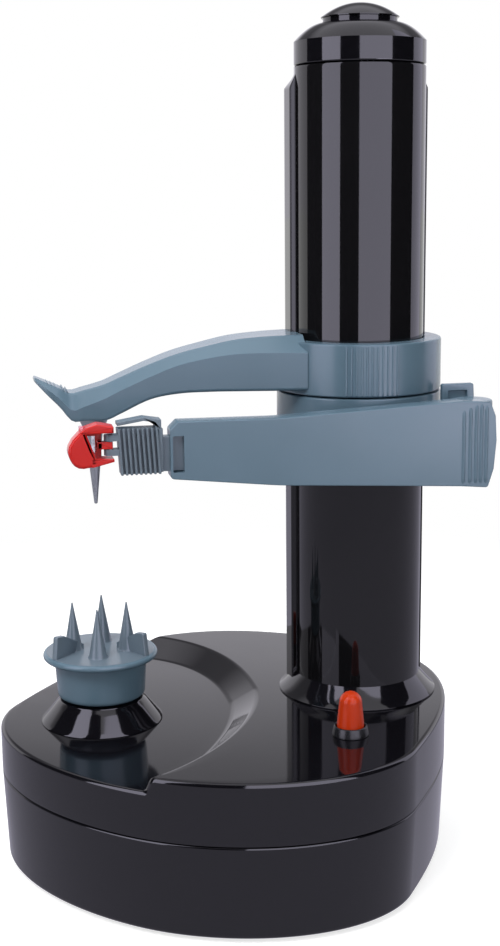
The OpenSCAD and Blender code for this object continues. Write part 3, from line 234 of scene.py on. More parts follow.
def prism_y(name, outline, y0, y1, slot, edge=0.5, seg=3, sharp=32.0):
    """Outline in XZ from y0 (front) to y1 (back), with rounded rims front and back."""
    n = len(outline)
    area = sum(outline[i - 1][0] * outline[i][1] - outline[i][0] * outline[i - 1][1] for i in range(n))
    inner = []
    for i in range(n):
        d = Vector(outline[(i + 1) % n]) - Vector(outline[i - 1])
        nrm = Vector((-d.y, d.x)) if area > 0 else Vector((d.y, -d.x))
        if nrm.length > 1e-9:
            nrm.normalize()
        inner.append(nrm)
    quarter = [math.pi / 2 * k / seg for k in range(seg + 1)]
    rims = [(edge * (1 - math.sin(a)), y0 + edge * (1 - math.cos(a))) for a in quarter]
    rims += [(edge * (1 - math.cos(a)), y1 - edge * (1 - math.sin(a))) for a in quarter]
    loops = [[(p[0] + q.x * off, y, p[1] + q.y * off) for p, q in zip(outline, inner)] for off, y in rims]
    return rings(name, loops, slot, sharp=sharp)


def block(name, x0, x1, y0, y1, z0, z1, slot, edge=0.4):
    """Box with rounded edges."""
    r = round_poly([(x0, z0), (x1, z0), (x1, z1), (x0, z1)], edge, 4)
    return prism_y(name, r, y0, y1, slot, edge)


def applied(ob):
    """Puts the object's modifiers into its mesh."""
    dg = bpy.context.evaluated_depsgraph_get()
    me = bpy.data.meshes.new_from_object(ob.evaluated_get(dg), preserve_all_data_layers=True, depsgraph=dg)
    ob.modifiers.clear()
    old = ob.data
    ob.data = me
    bpy.data.meshes.remove(old)
    return ob


def cut(ob, *tools, sharp=32.0):
    """Takes each tool away from the object, in the order given, and removes the tool."""
    for t in tools:
        mod = ob.modifiers.new("cut", "BOOLEAN")
        mod.operation, mod.object, mod.solver = "DIFFERENCE", t, "EXACT"
        applied(ob)
        bpy.data.objects.remove(t)
    finish_mesh(ob, sharp)
    return ob


def join(name, *obs):
    """Puts several meshes into one object, in the order given."""
    bm = bmesh.new()
    mats = []
    for o in obs:
        for m in o.data.materials:
            if m not in mats:
                mats.append(m)
        start = len(bm.faces)
        index = [mats.index(m) for m in o.data.materials]
        bm.from_mesh(o.data)
        bm.faces.ensure_lookup_table()
        for f in bm.faces[start:]:
            f.material_index = index[min(f.material_index, len(index) - 1)]
    first = obs[0]
    bm.to_mesh(first.data)
    bm.free()
    first.data.materials.clear()
    for m in mats:
        first.data.materials.append(m)
    first.name = name
    for o in obs[1:]:
        bpy.data.objects.remove(o)
    return first


def bevel(ob, width=0.25, seg=2, angle=35.0):
    """Fine rounding of the sharp edges."""
    mod = ob.modifiers.new("edge", "BEVEL")
    mod.width, mod.segments, mod.limit_method = width / 1000, seg, "ANGLE"
    mod.angle_limit = math.radians(angle)
    mod.harden_normals = False
    return ob


def wear(ob, body, *nodes):
    """Hands a piece to its body, with weighted normals, in place of the CAD nodes named."""
    mod = ob.modifiers.new("normals", "WEIGHTED_NORMAL")
    mod.keep_sharp = True
    mod.weight = 80
    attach(ob, body)
    if nodes:
        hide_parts(*nodes)
    return ob


def blend_rows(rows, steps):
    """Smooth values between rows whose first entry is the place along the line."""
    out = []
    for k in range(steps + 1):
        t = rows[0][0] + (rows[-1][0] - rows[0][0]) * k / steps
        i = max(j for j in range(len(rows)) if rows[j][0] <= t + 1e-9)
        i = min(i, len(rows) - 2)
        a, b = rows[i], rows[i + 1]
        p, q = rows[max(i - 1, 0)], rows[min(i + 2, len(rows) - 1)]
        u = (t - a[0]) / (b[0] - a[0])
        row = [t]
        for c in range(1, len(a)):
            ma = (b[c] - p[c]) / (b[0] - p[0]) * (b[0] - a[0])
            mb = (q[c] - a[c]) / (q[0] - a[0]) * (b[0] - a[0])
            h = (2 * u ** 3 - 3 * u ** 2 + 1) * a[c] + (u ** 3 - 2 * u ** 2 + u) * ma \
                + (-2 * u ** 3 + 3 * u ** 2) * b[c] + (u ** 3 - u ** 2) * mb
            row.append(h)
        out.append(row)
    return out


# ---------------------------------------------------------------- base
BX, BY, TURN = -58.5, -25.0, math.radians(-34)       # middle of the base's outline, and its turn
LEFT, RIGHT, FRONT, BACK = 81.0, 72.5, 54.0, 104.0   # its half widths along the turned axes
PF, PB = 1.9, 2.6                                    # its squareness in front and behind
SEAM, DECK, DISH = 32.5, 54.0, 49.0                  # heights of seam, deck and dish
EDGE, FLARE, GROOVE = 1.6, 1.35, 0.6                 # rim radius, outward slope, depth of the seam
DX, DY = -100.0, 5.0                                 # middle of the dish
DISH_FOOT, DISH_RIM = (52.5, 79, 66), (62, 80, 80)   # half width, reach in front, reach behind
SPOKES = 768


def base_loop(grow, z, n=384):
    """The base's outline, widened by grow."""
    pts = []
    for i in range(n):
        t = 2 * math.pi * i / n
        c, s = math.cos(t), math.sin(t)
        a = (RIGHT if c > 0 else LEFT) + grow
        b = (BACK if s > 0 else FRONT) + grow
        p = 2 / (PB if s > 0 else PF)
        u = a * math.copysign(abs(c) ** p, c)
        v = b * math.copysign(abs(s) ** p, s)
        x = BX + u * math.cos(TURN) - v * math.sin(TURN)
        y = BY + u * math.sin(TURN) + v * math.cos(TURN)
        pts.append((x, y, z))
    return pts


def in_base(x, y, grow):
    """True where the point lies inside the outline widened by grow."""
    dx, dy = x - BX, y - BY
    u = dx * math.cos(TURN) + dy * math.sin(TURN)
    v = -dx * math.sin(TURN) + dy * math.cos(TURN)
    a = (RIGHT if u > 0 else LEFT) + grow
    b = (BACK if v > 0 else FRONT) + grow
    p = PB if v > 0 else PF
    return (abs(u) / a) ** p + (abs(v) / b) ** p < 1


def base_reach(phi, grow):
    """Distance from the dish's middle to the outline, in direction phi in radians."""
    lo, hi = 0.0, 400.0
    for _ in range(40):
        mid = (lo + hi) / 2
        if in_base(DX + mid * math.cos(phi), DY + mid * math.sin(phi), grow):
            lo = mid
        else:
            hi = mid
    return lo


def dish_reach(phi, half, front, back):
    """Distance from the dish's middle to its foot or its rim."""
    c, s = math.cos(phi), math.sin(phi)
    p = 2.4 if s > 0 else 1.58
    b = back if s > 0 else front
    return ((abs(c) / half) ** p + (abs(s) / b) ** p) ** (-1 / p)


def soft_ramp(w, e):
    """Ramp from 0 to 1 with its two corners rounded over e."""
    if w <= -e:
        return 0.0
    if w < e:
        return (w + e) ** 2 / (4 * e)
    if w <= 1 - e:
        return w
    if w < 1 + e:
        return 1 - (1 + e - w) ** 2 / (4 * e)
    return 1.0


def upper_shell():
    """Deck and dish, drawn along spokes from the dish's middle to the seam."""
    columns = []
    for i in range(SPOKES):
        phi = 2 * math.pi * i / SPOKES
        rf = dish_reach(phi, *DISH_FOOT)
        rt = dish_reach(phi, *DISH_RIM)
        rb = base_reach(phi, FLARE)
        wall = max(rt - rf, 0.8)
        e = min(0.35, 1.1 / wall)

        def height(s):
            return DISH + (DECK - DISH) * soft_ramp((s - rf) / wall, e)
        marks = [0.0, 0.25 * rf, 0.5 * rf, 0.75 * rf, 0.9 * rf]
        marks += [rf + wall * (-e + 2 * e * k / 5) for k in range(6)]
        marks += [rf + wall * (e + (1 - 2 * e) * k / 3) for k in range(1, 3)]
        marks += [rf + wall * (1 - e + 2 * e * k / 5) for k in range(6)]
        outer = rb - EDGE
        last = rf + wall * (1 + e)
        if last < outer:
            marks += [last + (outer - last) * k / 6 for k in range(1, 7)]
        else:
            marks += [outer] * 6
        marks = [min(m, outer) for m in marks]
        line = [(s, height(s)) for s in marks]
        ze = height(outer)
        for k in range(1, 7):
            a = math.pi / 2 * k / 6
            line.append((outer + EDGE * math.sin(a), ze - EDGE * (1 - math.cos(a))))
        line += [(rb, ze - EDGE - (ze - EDGE - SEAM - GROOVE) * k / 3) for k in range(1, 4)]
        line += [(rb - 0.15, SEAM + GROOVE * 0.55), (rb - GROOVE, SEAM + 0.25),
                 (rb - GROOVE - 1.5, SEAM + 0.05)]
        columns.append([(DX + s * math.cos(phi), DY + s * math.sin(phi), z) for s, z in line])
    loops = [list(loop) for loop in zip(*columns)]
    return rings("base_upper_shell", loops, "black_shell", (False, False), 40)


wear(upper_shell(), "base", "base_upper")

quarter = [math.pi / 2 * k / 6 for k in range(7)]
prof = [(-EDGE * (1 - math.sin(a)), EDGE * (1 - math.cos(a))) for a in quarter]
prof += [(FLARE * (z - EDGE) / (SEAM - EDGE), z) for z in (8, 16, 24, SEAM - 0.9)]
prof += [(FLARE - 0.05, SEAM - 0.5), (FLARE - 0.35, SEAM - 0.15), (FLARE - GROOVE - 0.4, SEAM + 0.02)]
shell = rings("base_lower_shell", [base_loop(g, z) for g, z in prof], "black_shell", (True, True), 40)
cell_bay = block("t1", -78, -26, 32.7, 62.3, -5, 31.4, "dark_plastic", 0.01)
door_bay = block("t2", -138, -25, 31.6, 63.4, -5, 1.35, "dark_plastic", 0.01)
jack_ends = [[(x, y, z) for x, z in circle(-42, 15, 4.45, 64)] for y in (60, 120)]
cut(shell, cell_bay, door_bay, rings("t3", jack_ends, "dark_plastic"), sharp=40)
wear(shell, "base", "base_lower")


# ---------------------------------------------------------------- column
COLUMN_R, REAR_R, REAR_HALF, CAP_R = 23.0, 26.6, 25.0, 22.98
COL_TOP, CAP_SIDE, CAP_DOME, NECK, KNOB, KNOB_H = 279.3, 8.3, 6.0, 12.9, 13.6, 5.3


def front_loop(z, shrink=0.0):
    """Front half of the column in plan."""
    r = COLUMN_R - shrink
    angles = [math.pi + math.pi * i / 120 for i in range(121)]
    pts = [(r * math.cos(a), r * math.sin(a), z) for a in angles]
    return pts + [(18 - 36 * i / 12, 0.0, z) for i in range(13)]


def rear_loop(z, mix=0.0):
    """Rear half of the column in plan: flat cheeks and an arc. Mix 1 draws it in to the cap's circle."""
    flat = math.sqrt(REAR_R ** 2 - REAR_HALF ** 2)
    a0 = math.atan2(flat, REAR_HALF)
    cheek = [(24.4, 0.0), (24.75, 0.12), (24.95, 0.4), (REAR_HALF, 0.8), (REAR_HALF, flat * 0.5),
             (REAR_HALF, flat * 0.85)]
    angles = [a0 + (math.pi - 2 * a0) * i / 100 for i in range(101)]
    back = [(REAR_R * math.cos(a), REAR_R * math.sin(a)) for a in angles]
    out = []
    for x, y in cheek + back + [(-x, y) for x, y in reversed(cheek)]:
        k = CAP_R / math.hypot(x, y)
        out.append((x * (1 - mix + mix * k), y * (1 - mix + mix * k), z))
    return out + [(-20 + 40 * i / 12, 0.0, z) for i in range(13)]


rows = [(z, 0.0) for z in (50, 54, 90, 140, 190, 240, COL_TOP - 1.2, COL_TOP - 0.6)]
rows += [(COL_TOP - 0.25, 0.12), (COL_TOP - 0.05, 0.45)]
front = rings("column_front_shell", [front_loop(z, s) for z, s in rows], "black_column", sharp=38)
wear(front, "base", "column_front")
rows = [(50, 0), (54, 0), (110, 0), (170, 0), (230, 0), (271.5, 0), (272.2, 0.02), (273.5, 0.3),
        (275, 0.66), (276.2, 0.93), (276.8, 1.0), (COL_TOP, 1.0)]
rear = rings("column_rear_shell", [rear_loop(z, m) for z, m in rows], "black_column", sharp=38)
cut(rear, block("t4", -4, 4, 3, 40, 76.05, 162.05, "dark_plastic", 0.01), sharp=38)
wear(rear, "base", "column_rear")

# conical foot
pr = [(20, 54.02), (29.1, 54.02)] + arc(28.75, 54.4, 0.35, -60, 20, 4)
pr += [(29.0 - 6.0 * (k / 10) ** 0.9, 54.6 + 6.4 * (k / 10)) for k in range(1, 10)]
pr += [(23.02, 61.0), (20, 61.0)]
skirt = revolve("column_foot_cone", pr, "black_shell", n=192)
wear(skirt, "base", "column_skirt")

# cap and its dome button
SHOULDER = COL_TOP + CAP_SIDE
CROWN = NECK + 0.5
pr = [(13.05, COL_TOP + 6.0), (20.9, COL_TOP + 6.0), (20.9, COL_TOP + 0.1), (22.2, COL_TOP + 0.1),
      (22.45, COL_TOP + 0.3), (22.85, COL_TOP + 0.42), (COLUMN_R, COL_TOP + 0.7),
      (COLUMN_R, COL_TOP + 1.2), (COLUMN_R, SHOULDER - 0.6), (COLUMN_R, SHOULDER - 0.12)]
pr += [(CROWN + (22.9 - CROWN) * k / 24, SHOULDER + CAP_DOME * (1 - (k / 24) ** 1.78))
       for k in range(24, -1, -1)]
pr += [(13.1, SHOULDER + CAP_DOME - 0.02), (13.05, SHOULDER + CAP_DOME - 0.2)]
cap = revolve("cap_shell", pr, "black_shell", n=192, closed=True)
wear(cap, "base", "cap")
BRIM = SHOULDER + CAP_DOME + 1.6
pr = [(0, SHOULDER - 1.8), (14.3, SHOULDER - 1.8), (14.3, SHOULDER - 0.35), (NECK, SHOULDER - 0.3),
      (NECK, BRIM + 0.02), (KNOB - 0.25, BRIM + 0.03), (KNOB - 0.03, BRIM + 0.2)]
pr += [(KNOB * k / 24, BRIM + 0.45 + (KNOB_H - 0.45) * (1 - (k / 24) ** 2.1)) for k in range(24, -1, -1)]
knob = revolve("cap_button_dome", pr, "black_shell", n=192)
wear(knob, "cap_button", "cap_button")

# ---------------------------------------------------------------- turntable cone and food cup
C = (CHUCK, 0, 0)
pr = [(4.1, 49.0), (21.7, 49.0), (22.0, 49.15), (21.85, 49.5)]
pr += [(21.85 - 6.5 * (k / 8), 49.5 + 7.6 * (k / 8)) for k in range(1, 8)]
pr += [(15.3, 57.0), (15.1, 57.3), (14.7, 57.4), (4.1, 57.4)]
cone = revolve("turntable_cone", pr, "black_shell", C, n=160, closed=True)
wear(cone, "base", "chuck_cone")

pr = [(4.1, 58.0), (13.6, 58.0)] + arc(14.1, 59.9, 1.7, -90, -8, 6)
pr += [(15.85 + 0.7 * k / 6, 60.2 + 12.0 * k / 6) for k in range(7)]
pr += [(17.2, 72.4), (18.6, 72.45)] + arc(19.35, 73.65, 1.2, -100, 90, 12)
pr += [(19.72, 74.85), (19.72, 73.85), (4.1, 73.85)]
cup = revolve("food_cup_body", pr, "blue_grey", C, n=192, closed=True)
wear(cup, "chuck", "food_cup")

# spiked disc with two wings
SPIKES, SPIKE_RING, DISC_TOP = 4, 9.7, 75.0
WING_MID, WING_OUT = (10.0, 3.2), 6.6
pr = [(0, 73.8), (19.2, 73.8), (19.4, 74.0), (19.4, 74.8), (19.2, DISC_TOP), (0, DISC_TOP)]
parts = [revolve("disc", pr, "blue_grey_light", C, n=128)]
pr = [(0, -0.6), (3.9, -0.3), (3.55, 0.15), (3.2, 0.7)]
pr += [(3.12 - 2.86 * k / 8, 1.1 + 15.9 * k / 8) for k in range(1, 8)]
pr += [(0.3, 17.1), (0.2, 17.45), (0, 17.6)]
for i in range(SPIKES):
    a = math.radians(80 + 90 * i)
    at = (CHUCK + SPIKE_RING * math.cos(a), SPIKE_RING * math.sin(a), DISC_TOP)
    parts.append(revolve("spike", pr, "blue_grey_light", at, n=40))
wing = round_poly([(2.3, -0.4), (18.2, -0.4), (17.1, 8.0), (13.4, 7.6), (2.3, 1.7)],
                  [0.3, 0.3, 0.7, 0.7, 0.3], 4)
for side in (-1, 1):
    a = math.radians(-94.5 + side * 38.3)
    ux, uy = math.cos(a), math.sin(a)
    vx, vy = -math.sin(a), math.cos(a)
    loops = []
    for off, inset in ((-1.1, 0.45), (-0.95, 0.15), (-0.65, 0.0), (0.65, 0.0), (0.95, 0.15), (1.1, 0.45)):
        w = side * WING_OUT + off
        loop = []
        for t, z in wing:
            d = Vector((WING_MID[0] - t, WING_MID[1] - z)).normalized() * inset
            tt, zz = t + d.x, z + d.y
            loop.append((CHUCK + ux * tt + vx * w, uy * tt + vy * w, DISC_TOP + zz))
        loops.append(loop)
    parts.append(rings("wing", loops, "blue_grey_light"))
spikes = join("food_spike_disc", *parts)
finish_mesh(spikes)
wear(spikes, "chuck", "food_spikes")

# ---------------------------------------------------------------- holder arm
H0, NOSE, RISE = 167.2, 160.0, 28.0                  # heights: collar, nose, and from nose to root
REACH, HW = 116.0, 13.0                              # length and half width of the arm
COLLAR_BORE, COLLAR_R = 26.9, 29.5
RIDGES, RIDGE_FROM, RIDGE_STEP, TEETH = 11, -113.3, 3.5, 6
# share of the reach, of the half width, and of the rise for underside, side edge and top
shares = [
    (0.20, 1.44, 0.32, 0.79, 0.99), (0.30, 1.29, 0.32, 0.797, 0.978), (0.40, 1.13, 0.32, 0.79, 0.945),
    (0.48, 1.03, 0.32, 0.75, 0.88), (0.58, 0.93, 0.305, 0.66, 0.78), (0.665, 0.85, 0.24, 0.525, 0.655),
    (0.755, 0.79, 0.07, 0.36, 0.50), (0.795, 0.77, 0.00, 0.28, 0.43), (0.86, 0.74, 0.00, 0.18, 0.36),
    (0.897, 0.72, 0.00, 0.14, 0.33), (0.931, 0.68, 0.17, 0.28, 0.40), (0.966, 0.60, 0.32, 0.40, 0.465),
    (1.00, 0.42, 0.475, 0.50, 0.53)]
rows = blend_rows(shares, 64)
loops = []
for s, w, low, ridge, top in rows:
    x, w = -REACH * s, HW * w
    low, ridge, top = NOSE + RISE * low, NOSE + RISE * ridge, NOSE + RISE * top
    side_r = min(1.2, (top - low) * 0.2)
    ring = round_poly([(-w, low), (-w, ridge), (-w * 0.6, top), (w * 0.6, top), (w, ridge), (w, low)],
                      [side_r, 0.25, 2.0, 2.0, 0.25, side_r], 5)
    loops.append([(x, y, z) for y, z in ring])
tip = loops[-1]
ty, tz = sum(p[1] for p in tip) / len(tip), sum(p[2] for p in tip) / len(tip)
loops.append([(p[0] - 0.35, ty + (p[1] - ty) * 0.72, tz + (p[2] - tz) * 0.6) for p in tip])
arm = rings("arm", loops, "blue_grey", sharp=24)
pr = [(COLLAR_BORE, H0 + 0.02), (28.9, H0 + 0.02), (29.3, H0 + 0.15), (COLLAR_R, H0 + 0.55),
      (COLLAR_R, H0 + 17.5), (29.3, H0 + 18.05), (28.8, H0 + 18.28), (23.6, H0 + 18.28),
      (23.3, H0 + 18.0), (23.3, H0 + 14.0), (COLLAR_BORE, H0 + 14.0)]
parts = [arm, revolve("collar", pr, "blue_grey", n=192, closed=True)]
pr = [(0, 0.5), (0.25, 0.6), (0.4, 0.9), (0.4, 17.3), (0.25, 17.65), (0, 17.75)]
for i in range(RIDGES):
    a = math.radians(RIDGE_FROM + i * RIDGE_STEP)
    ridge = revolve("ridge", pr, "blue_grey", (COLLAR_R * math.cos(a), COLLAR_R * math.sin(a), H0), n=16)
    # Each ridge takes the lighter painted-highlight material in place of the collar's own blue-grey.
    ridge.data.materials[0] = M["ridge_painted_highlight"]
    parts.append(ridge)
for i in range(TEETH):
    s = 0.908 + 0.0115 * i
    row = min(rows, key=lambda r: abs(r[0] - s))
    x, w, z = -REACH * s, HW * row[1] * 0.62, NOSE + RISE * row[4]
    tooth = [(x - 0.5, z - 0.5), (x + 0.5, z - 0.7), (x + 0.1, z + 0.4)]
    parts.append(prism_y("tooth", tooth, -w, w, "blue_grey", 0.1, 2))
holder = join("holder_arm_body", *parts)
finish_mesh(holder, 26)
wear(holder, "holder", "holder_arm")

pr = [(0, 128.8), (0.35, 128.85), (0.6, 129.1)]
pr += [(0.6 + 2.6 * k / 6, 129.1 + 26.1 * k / 6) for k in range(1, 7)]
pr += [(3.5, 155.4), (5.1, 159.2), (5.3, 159.55), (5.1, 159.7), (2.5, 159.7), (2.5, 166.2), (4, 166.2),
       (4, 167.7), (0, 167.7)]
spike = revolve("top_spike_cone", pr, "bright_metal", C, n=64)
wear(spike, "top_spike", "top_spike")

# ---------------------------------------------------------------- carriage, tab and peeling arm
C0, CH = 138.4, 28.3                                 # underside and height of the carriage
MID = C0 + CH / 2
HX, HY = 31.5, -33.0                                 # the arm's hinge
pr = [(COLLAR_BORE, C0), (28.9, C0), (29.3, C0 + 0.15), (COLLAR_R, C0 + 0.5),
      (COLLAR_R, C0 + CH - 0.6), (29.3, C0 + CH - 0.2), (28.9, C0 + CH), (COLLAR_BORE, C0 + CH)]
ring_part = revolve("collar2", pr, "blue_grey", n=192, closed=True)
nut_window = block("t10", -3.6, 3.6, 12, 60, MID - 6.1, MID + 6.1, "blue_grey", 0.01)
tab_channel = block("t11", 24.6, 36.3, -23, -8.7, 151.45, 157.6, "blue_grey", 0.01)
cut(ring_part, nut_window, tab_channel)
web = block("web", 22, 45, -2.6, 2.6, MID - 5.2, MID + 5.2, "blue_grey", 0.5)
axis = Vector(L(0, 0, 0))
turn = Matrix.Rotation(math.atan2(HY, HX), 4, "Z")
web.data.transform(Matrix.Translation(axis) @ turn @ Matrix.Translation(-axis))
pr = [(1.8, -5.7), (3.0, -5.7), (3.2, -5.5), (3.2, 5.5), (3.0, 5.7), (1.8, 5.7)]
knuckle = revolve("knuckle", pr, "blue_grey", (HX, HY, MID), n=48, closed=True)
brackets = [block("bracket", *box, "blue_grey", 0.3) for box in (
    (23.2, 24.55, -20.9, -7, 149.9, 157.3), (36.35, 38.0, -20.9, -7, 149.9, 157.3),
    (23.2, 38.0, -20.9, -7, 149.7, 151.3), (22.0, 38.0, -8.6, -6.9, 149.9, 157.3))]
carriage = join("carriage_body", ring_part, web, knuckle, *brackets)
finish_mesh(carriage)
wear(carriage, "carriage", "carriage")

TX = 24.6                                            # left side of the release tab
face = round_poly([(TX + 0.3, 151.8), (TX + 11.4, 151.8), (TX + 11.6, 157.6), (TX + 12.4, 158.0),
                   (TX + 11.7, 169.9), (TX + 0.1, 169.9), (TX + 0.1, 157.8)],
                  [0.3, 0.3, 0.2, 0.3, 0.9, 0.9, 0.3], 4)
tab = prism_y("tab", face, -21.0, -18.8, "blue_grey", 0.3)
cut(tab, block("t5", TX + 2.3, TX + 9.4, -25, -19.9, 160.4, 167.6, "blue_grey", 0.5))
shank = block("shank", TX + 0.2, TX + 11.5, -19.0, -11.0, 151.7, 157.4, "blue_grey", 0.3)
tab = join("release_tab_body", tab, shank)
finish_mesh(tab)
bevel(tab, 0.15)
wear(tab, "release_tab", "release_tab")

# arm plate: outline in XZ
AF, AT, AR, BR = -40.0, 8.5, 75.7, 7.0               # front face, thickness, reach, barrel radius
RIBS = (-0.73, -0.4, -0.1, 0.16, 0.42)               # places of the ribs across the barrel
top = [(-0.985, 0.79), (-0.95, 0.883), (-0.5, 0.875), (-0.25, 0.91), (0, 0.945), (0.2, 0.975), (0.34, 0.995)]
end = [(0.62, 0.975), (0.9, 0.8), (0.97, 0.5), (0.85, 0.15), (0.56, -0.08)]
low = [(0.34, -0.05), (0, 0), (-0.25, 0.035), (-0.5, 0.07), (-0.985, 0.208)]
raw = [(AR * s[0], C0 + CH * s[1]) for s in top] + [(HX + BR * s[0], C0 + CH * s[1]) for s in end] \
    + [(AR * s[0], C0 + CH * s[1]) for s in low]
radii = [1.1, 1.1, 150, 150, 150, 150, 5, 1.6, 3, 6, 3, 1.2, 3, 40, 150, 150, 1.4]
outline = round_poly(raw, radii, 5)


def arm_section(y, inset):
    """The arm's outline at depth y, drawn in by inset."""
    cx, cz = -10.0, C0 + CH * 0.46
    pts = []
    n = len(outline)
    for i in range(n):
        a, p, b = Vector(outline[i - 1]), Vector(outline[i]), Vector(outline[(i + 1) % n])
        d = b - a
        nrm = Vector((d.y, -d.x))
        if nrm.length < 1e-9:
            nrm = Vector((0, 1))
        nrm.normalize()
        q = p - nrm * inset if nrm.dot(Vector((cx, cz)) - p) < 0 else p + nrm * inset
        pts.append((q.x, y, q.y))
    return pts


sections = [(AF, 0.45), (AF + 0.06, 0.2), (AF + 0.2, 0.06), (AF + 0.45, 0.0),
            (AF + 2.5, 0.0), (AF + AT - 1.2, 0.0), (AF + AT - 0.4, 0.25), (AF + AT, 0.9)]
plate = rings("plate", [arm_section(y, inset) for y, inset in sections], "blue_grey", sharp=30)
pr = [(1.8, 0), (6.4, 0), (6.9, 0.3), (BR, 0.8), (BR, 27.0), (6.8, 27.5), (6.3, 27.7), (1.8, 27.7)]
barrel = revolve("barrel", pr, "blue_grey", (HX, HY, C0), n=96, closed=True)
for ob in (plate, barrel):
    cut(ob, block("t6", 21.5, 60, -36.2, -10, MID - 6.0, MID + 6.0, "blue_grey", 0.01))
socket = block("t8", -90, -65.2, -37.95, -33.55, MID - 6.0, MID + 6.0, "blue_grey", 0.3)
window = block("t9", -73.75, -70.0, -43, -36.4, MID - 6.1, MID + 6.1, "blue_grey", 0.3)
cut(plate, socket, window)
parts = [plate, barrel]
for s in RIBS:
    at = (HX + BR * s, AF + 0.25, C0 - CH * 0.02)
    tall = CH * (0.985 - 0.1 * abs(s - 0.1))
    pr = [(0, 0), (0.4, 0.2), (0.66, 0.8), (0.7, 2.0), (0.7, tall - 2.0), (0.6, tall - 0.7),
          (0.3, tall - 0.15), (0, tall)]
    parts.append(revolve("rib", pr, "blue_grey", at, n=24))
peel = join("peeling_arm_body", *parts)
finish_mesh(peel, 30)
wear(peel, "peeling_arm", "peeling_arm")

# ---------------------------------------------------------------- cartridge and guard
GRIP_W, GRIP_RIBS, GRIP_HALF = 14.5, 9, 7.7          # width, ribs and half height of the grip
GL = -AR - 1.6 - GRIP_W                              # the grip's left end
PVX, PVY, PVZ = GL - 2.2, -37.4, MID + 3.8           # the guard's pivot
CM = MID + 1.35                                      # the grip's middle height
GY = AF + (AT - 6.6) / 2                             # the grip's front
LEAN, step = 0.9, GRIP_W / GRIP_RIBS


def slanted(name, x0, x1, y0, y1, z0, z1, edge):
    """Block that leans towards -x by LEAN over its height."""
    d = LEAN * 0.5
    r = round_poly([(x0 + d, z0), (x1 + d, z0), (x1 - d, z1), (x0 - d, z1)], edge, 3)
    return prism_y(name, r, y0, y1, "blue_grey_light", edge)


z0, z1 = CM - GRIP_HALF, CM + GRIP_HALF
parts = [slanted("core", GL + 0.45, GL + 14.1, GY + 1.3, GY + 5.9, z0, z1, 0.3)]
for i in range(GRIP_RIBS):
    x0 = GL + 0.45 + i * step * 0.965
    parts.append(slanted("rib", x0, x0 + step * 0.5, GY - 0.6, GY + 1.8, z0, z1, 0.22))
parts.append(block("side", GL + 13.4, GL + 15.0, GY + 0.2, GY + 5.4, CM - 7.2, CM + 7.4, "blue_grey", 0.3))
parts.append(block("tongue", -AR - 2.6, -AR + 10.1, -37.8, -33.7, MID - 5.85, MID + 5.85, "blue_grey", 0.3))
lever = [(0, 0.28), (0.6, 0.68), (0.86, 0.5), (0.86, -0.2), (1, -0.2), (1, 0.74), (0.9, 0.8), (0.6, 1),
         (0, 0.6)]
lv = round_poly([(GL + GRIP_W * a, z1 + 3.5 * b) for a, b in lever], 0.15, 3)
parts.append(prism_y("lever", list(reversed(lv)), GY + 0.2, GY + 6.0, "blue_grey_light", 0.2))
for side in (-1, 1):
    zc = PVZ + side * 2.4
    lug = [(PVX + 2.6, PVY - 2.2), (PVX + 2.6, PVY + 2.2)] + arc(PVX, PVY, 2.2, 90, 270, 15)
    ends = [[(x, y, z) for x, y in lug] for z in (zc - 1.0, zc + 1.0)]
    parts.append(rings("lug", ends, "blue_grey_light"))
cart = join("cartridge_body", *parts)
finish_mesh(cart)
bevel(cart, 0.08)
wear(cart, "cartridge", "cartridge")

GLEN, GH = 15.0, 14.6                                # length and height of the guard
GX, GZ = PVX + 0.9 - GLEN, PVZ - 7.25                # its lower left corner
room0, room1 = GZ + GH * 0.2, GZ + GH * 0.79         # heights of the blade's room


def guard_part(name, shares, radius, edge, seg):
    """Piece of the guard; its outline is given in shares of the guard's length and height."""
    pts = round_poly([(GX + GLEN * a, GZ + GH * b) for a, b in shares], radius, 5)
    return prism_y(name, pts, PVY - 3.5, PVY + 3.5, "red_guard", edge, seg)


nose = guard_part("nose", [(0, 0.4), (0.012, 0.31), (0.04, 0.22), (0.08, 0.14), (0.135, 0.07),
                           (0.22, 0.015), (0.33, 0), (0.5, 0.024), (0.66, 0.055), (0.6, 0.25),
                           (0.37, 0.9), (0.24, 0.8), (0.1, 0.65), (0.02, 0.51)],
                  [1.4] * 8 + [0.6, 1.2, 0.8] + [1.4] * 3, 1.2, 6)
roof = guard_part("roof", [(0.28, 0.79), (1, 0.79), (1, 0.93), (0.8, 0.975), (0.64, 1), (0.39, 0.92),
                           (0.28, 0.83)], [0.3, 0.3, 0.3, 2, 1.5, 2, 0.3], 0.5, 4)
trough = guard_part("floor", [(0.5, 0.03), (0.52, 0.028), (0.6, 0.04), (1, 0.14), (1, 0.2), (0.5, 0.22)],
                    [0.2, 0.2, 2, 0.2, 0.2, 0.2], 0.35, 4)
walls = [block("wall", x0, x1, PVY + 1.9, PVY + 3.4, z0, z1, "red_guard", 0.2) for x0, x1, z0, z1 in (
    (GX + 9.3, PVX - 2.8, room0 - 0.6, room1 + 0.6), (GX + 5.0, GX + 9.6, PVZ + 2.75, room1 + 0.6),
    (GX + 5.0, GX + 9.6, room0 - 0.6, PVZ - 2.75))]
tongue = block("tg", PVX - 4.4, PVX + 0.6, PVY - 1.9, PVY + 1.9, PVZ - 1.2, PVZ + 1.2, "red_guard", 0.3)
root = block("tg2", PVX - 4.4, PVX - 2.8, PVY - 1.9, PVY + 3.4, PVZ - 1.2, PVZ + 1.2, "red_guard", 0.2)
guard = join("guard_body", nose, roof, trough, tongue, root, *walls)
finish_mesh(guard)
bevel(guard, 0.15)
wear(guard, "guard", "guard")

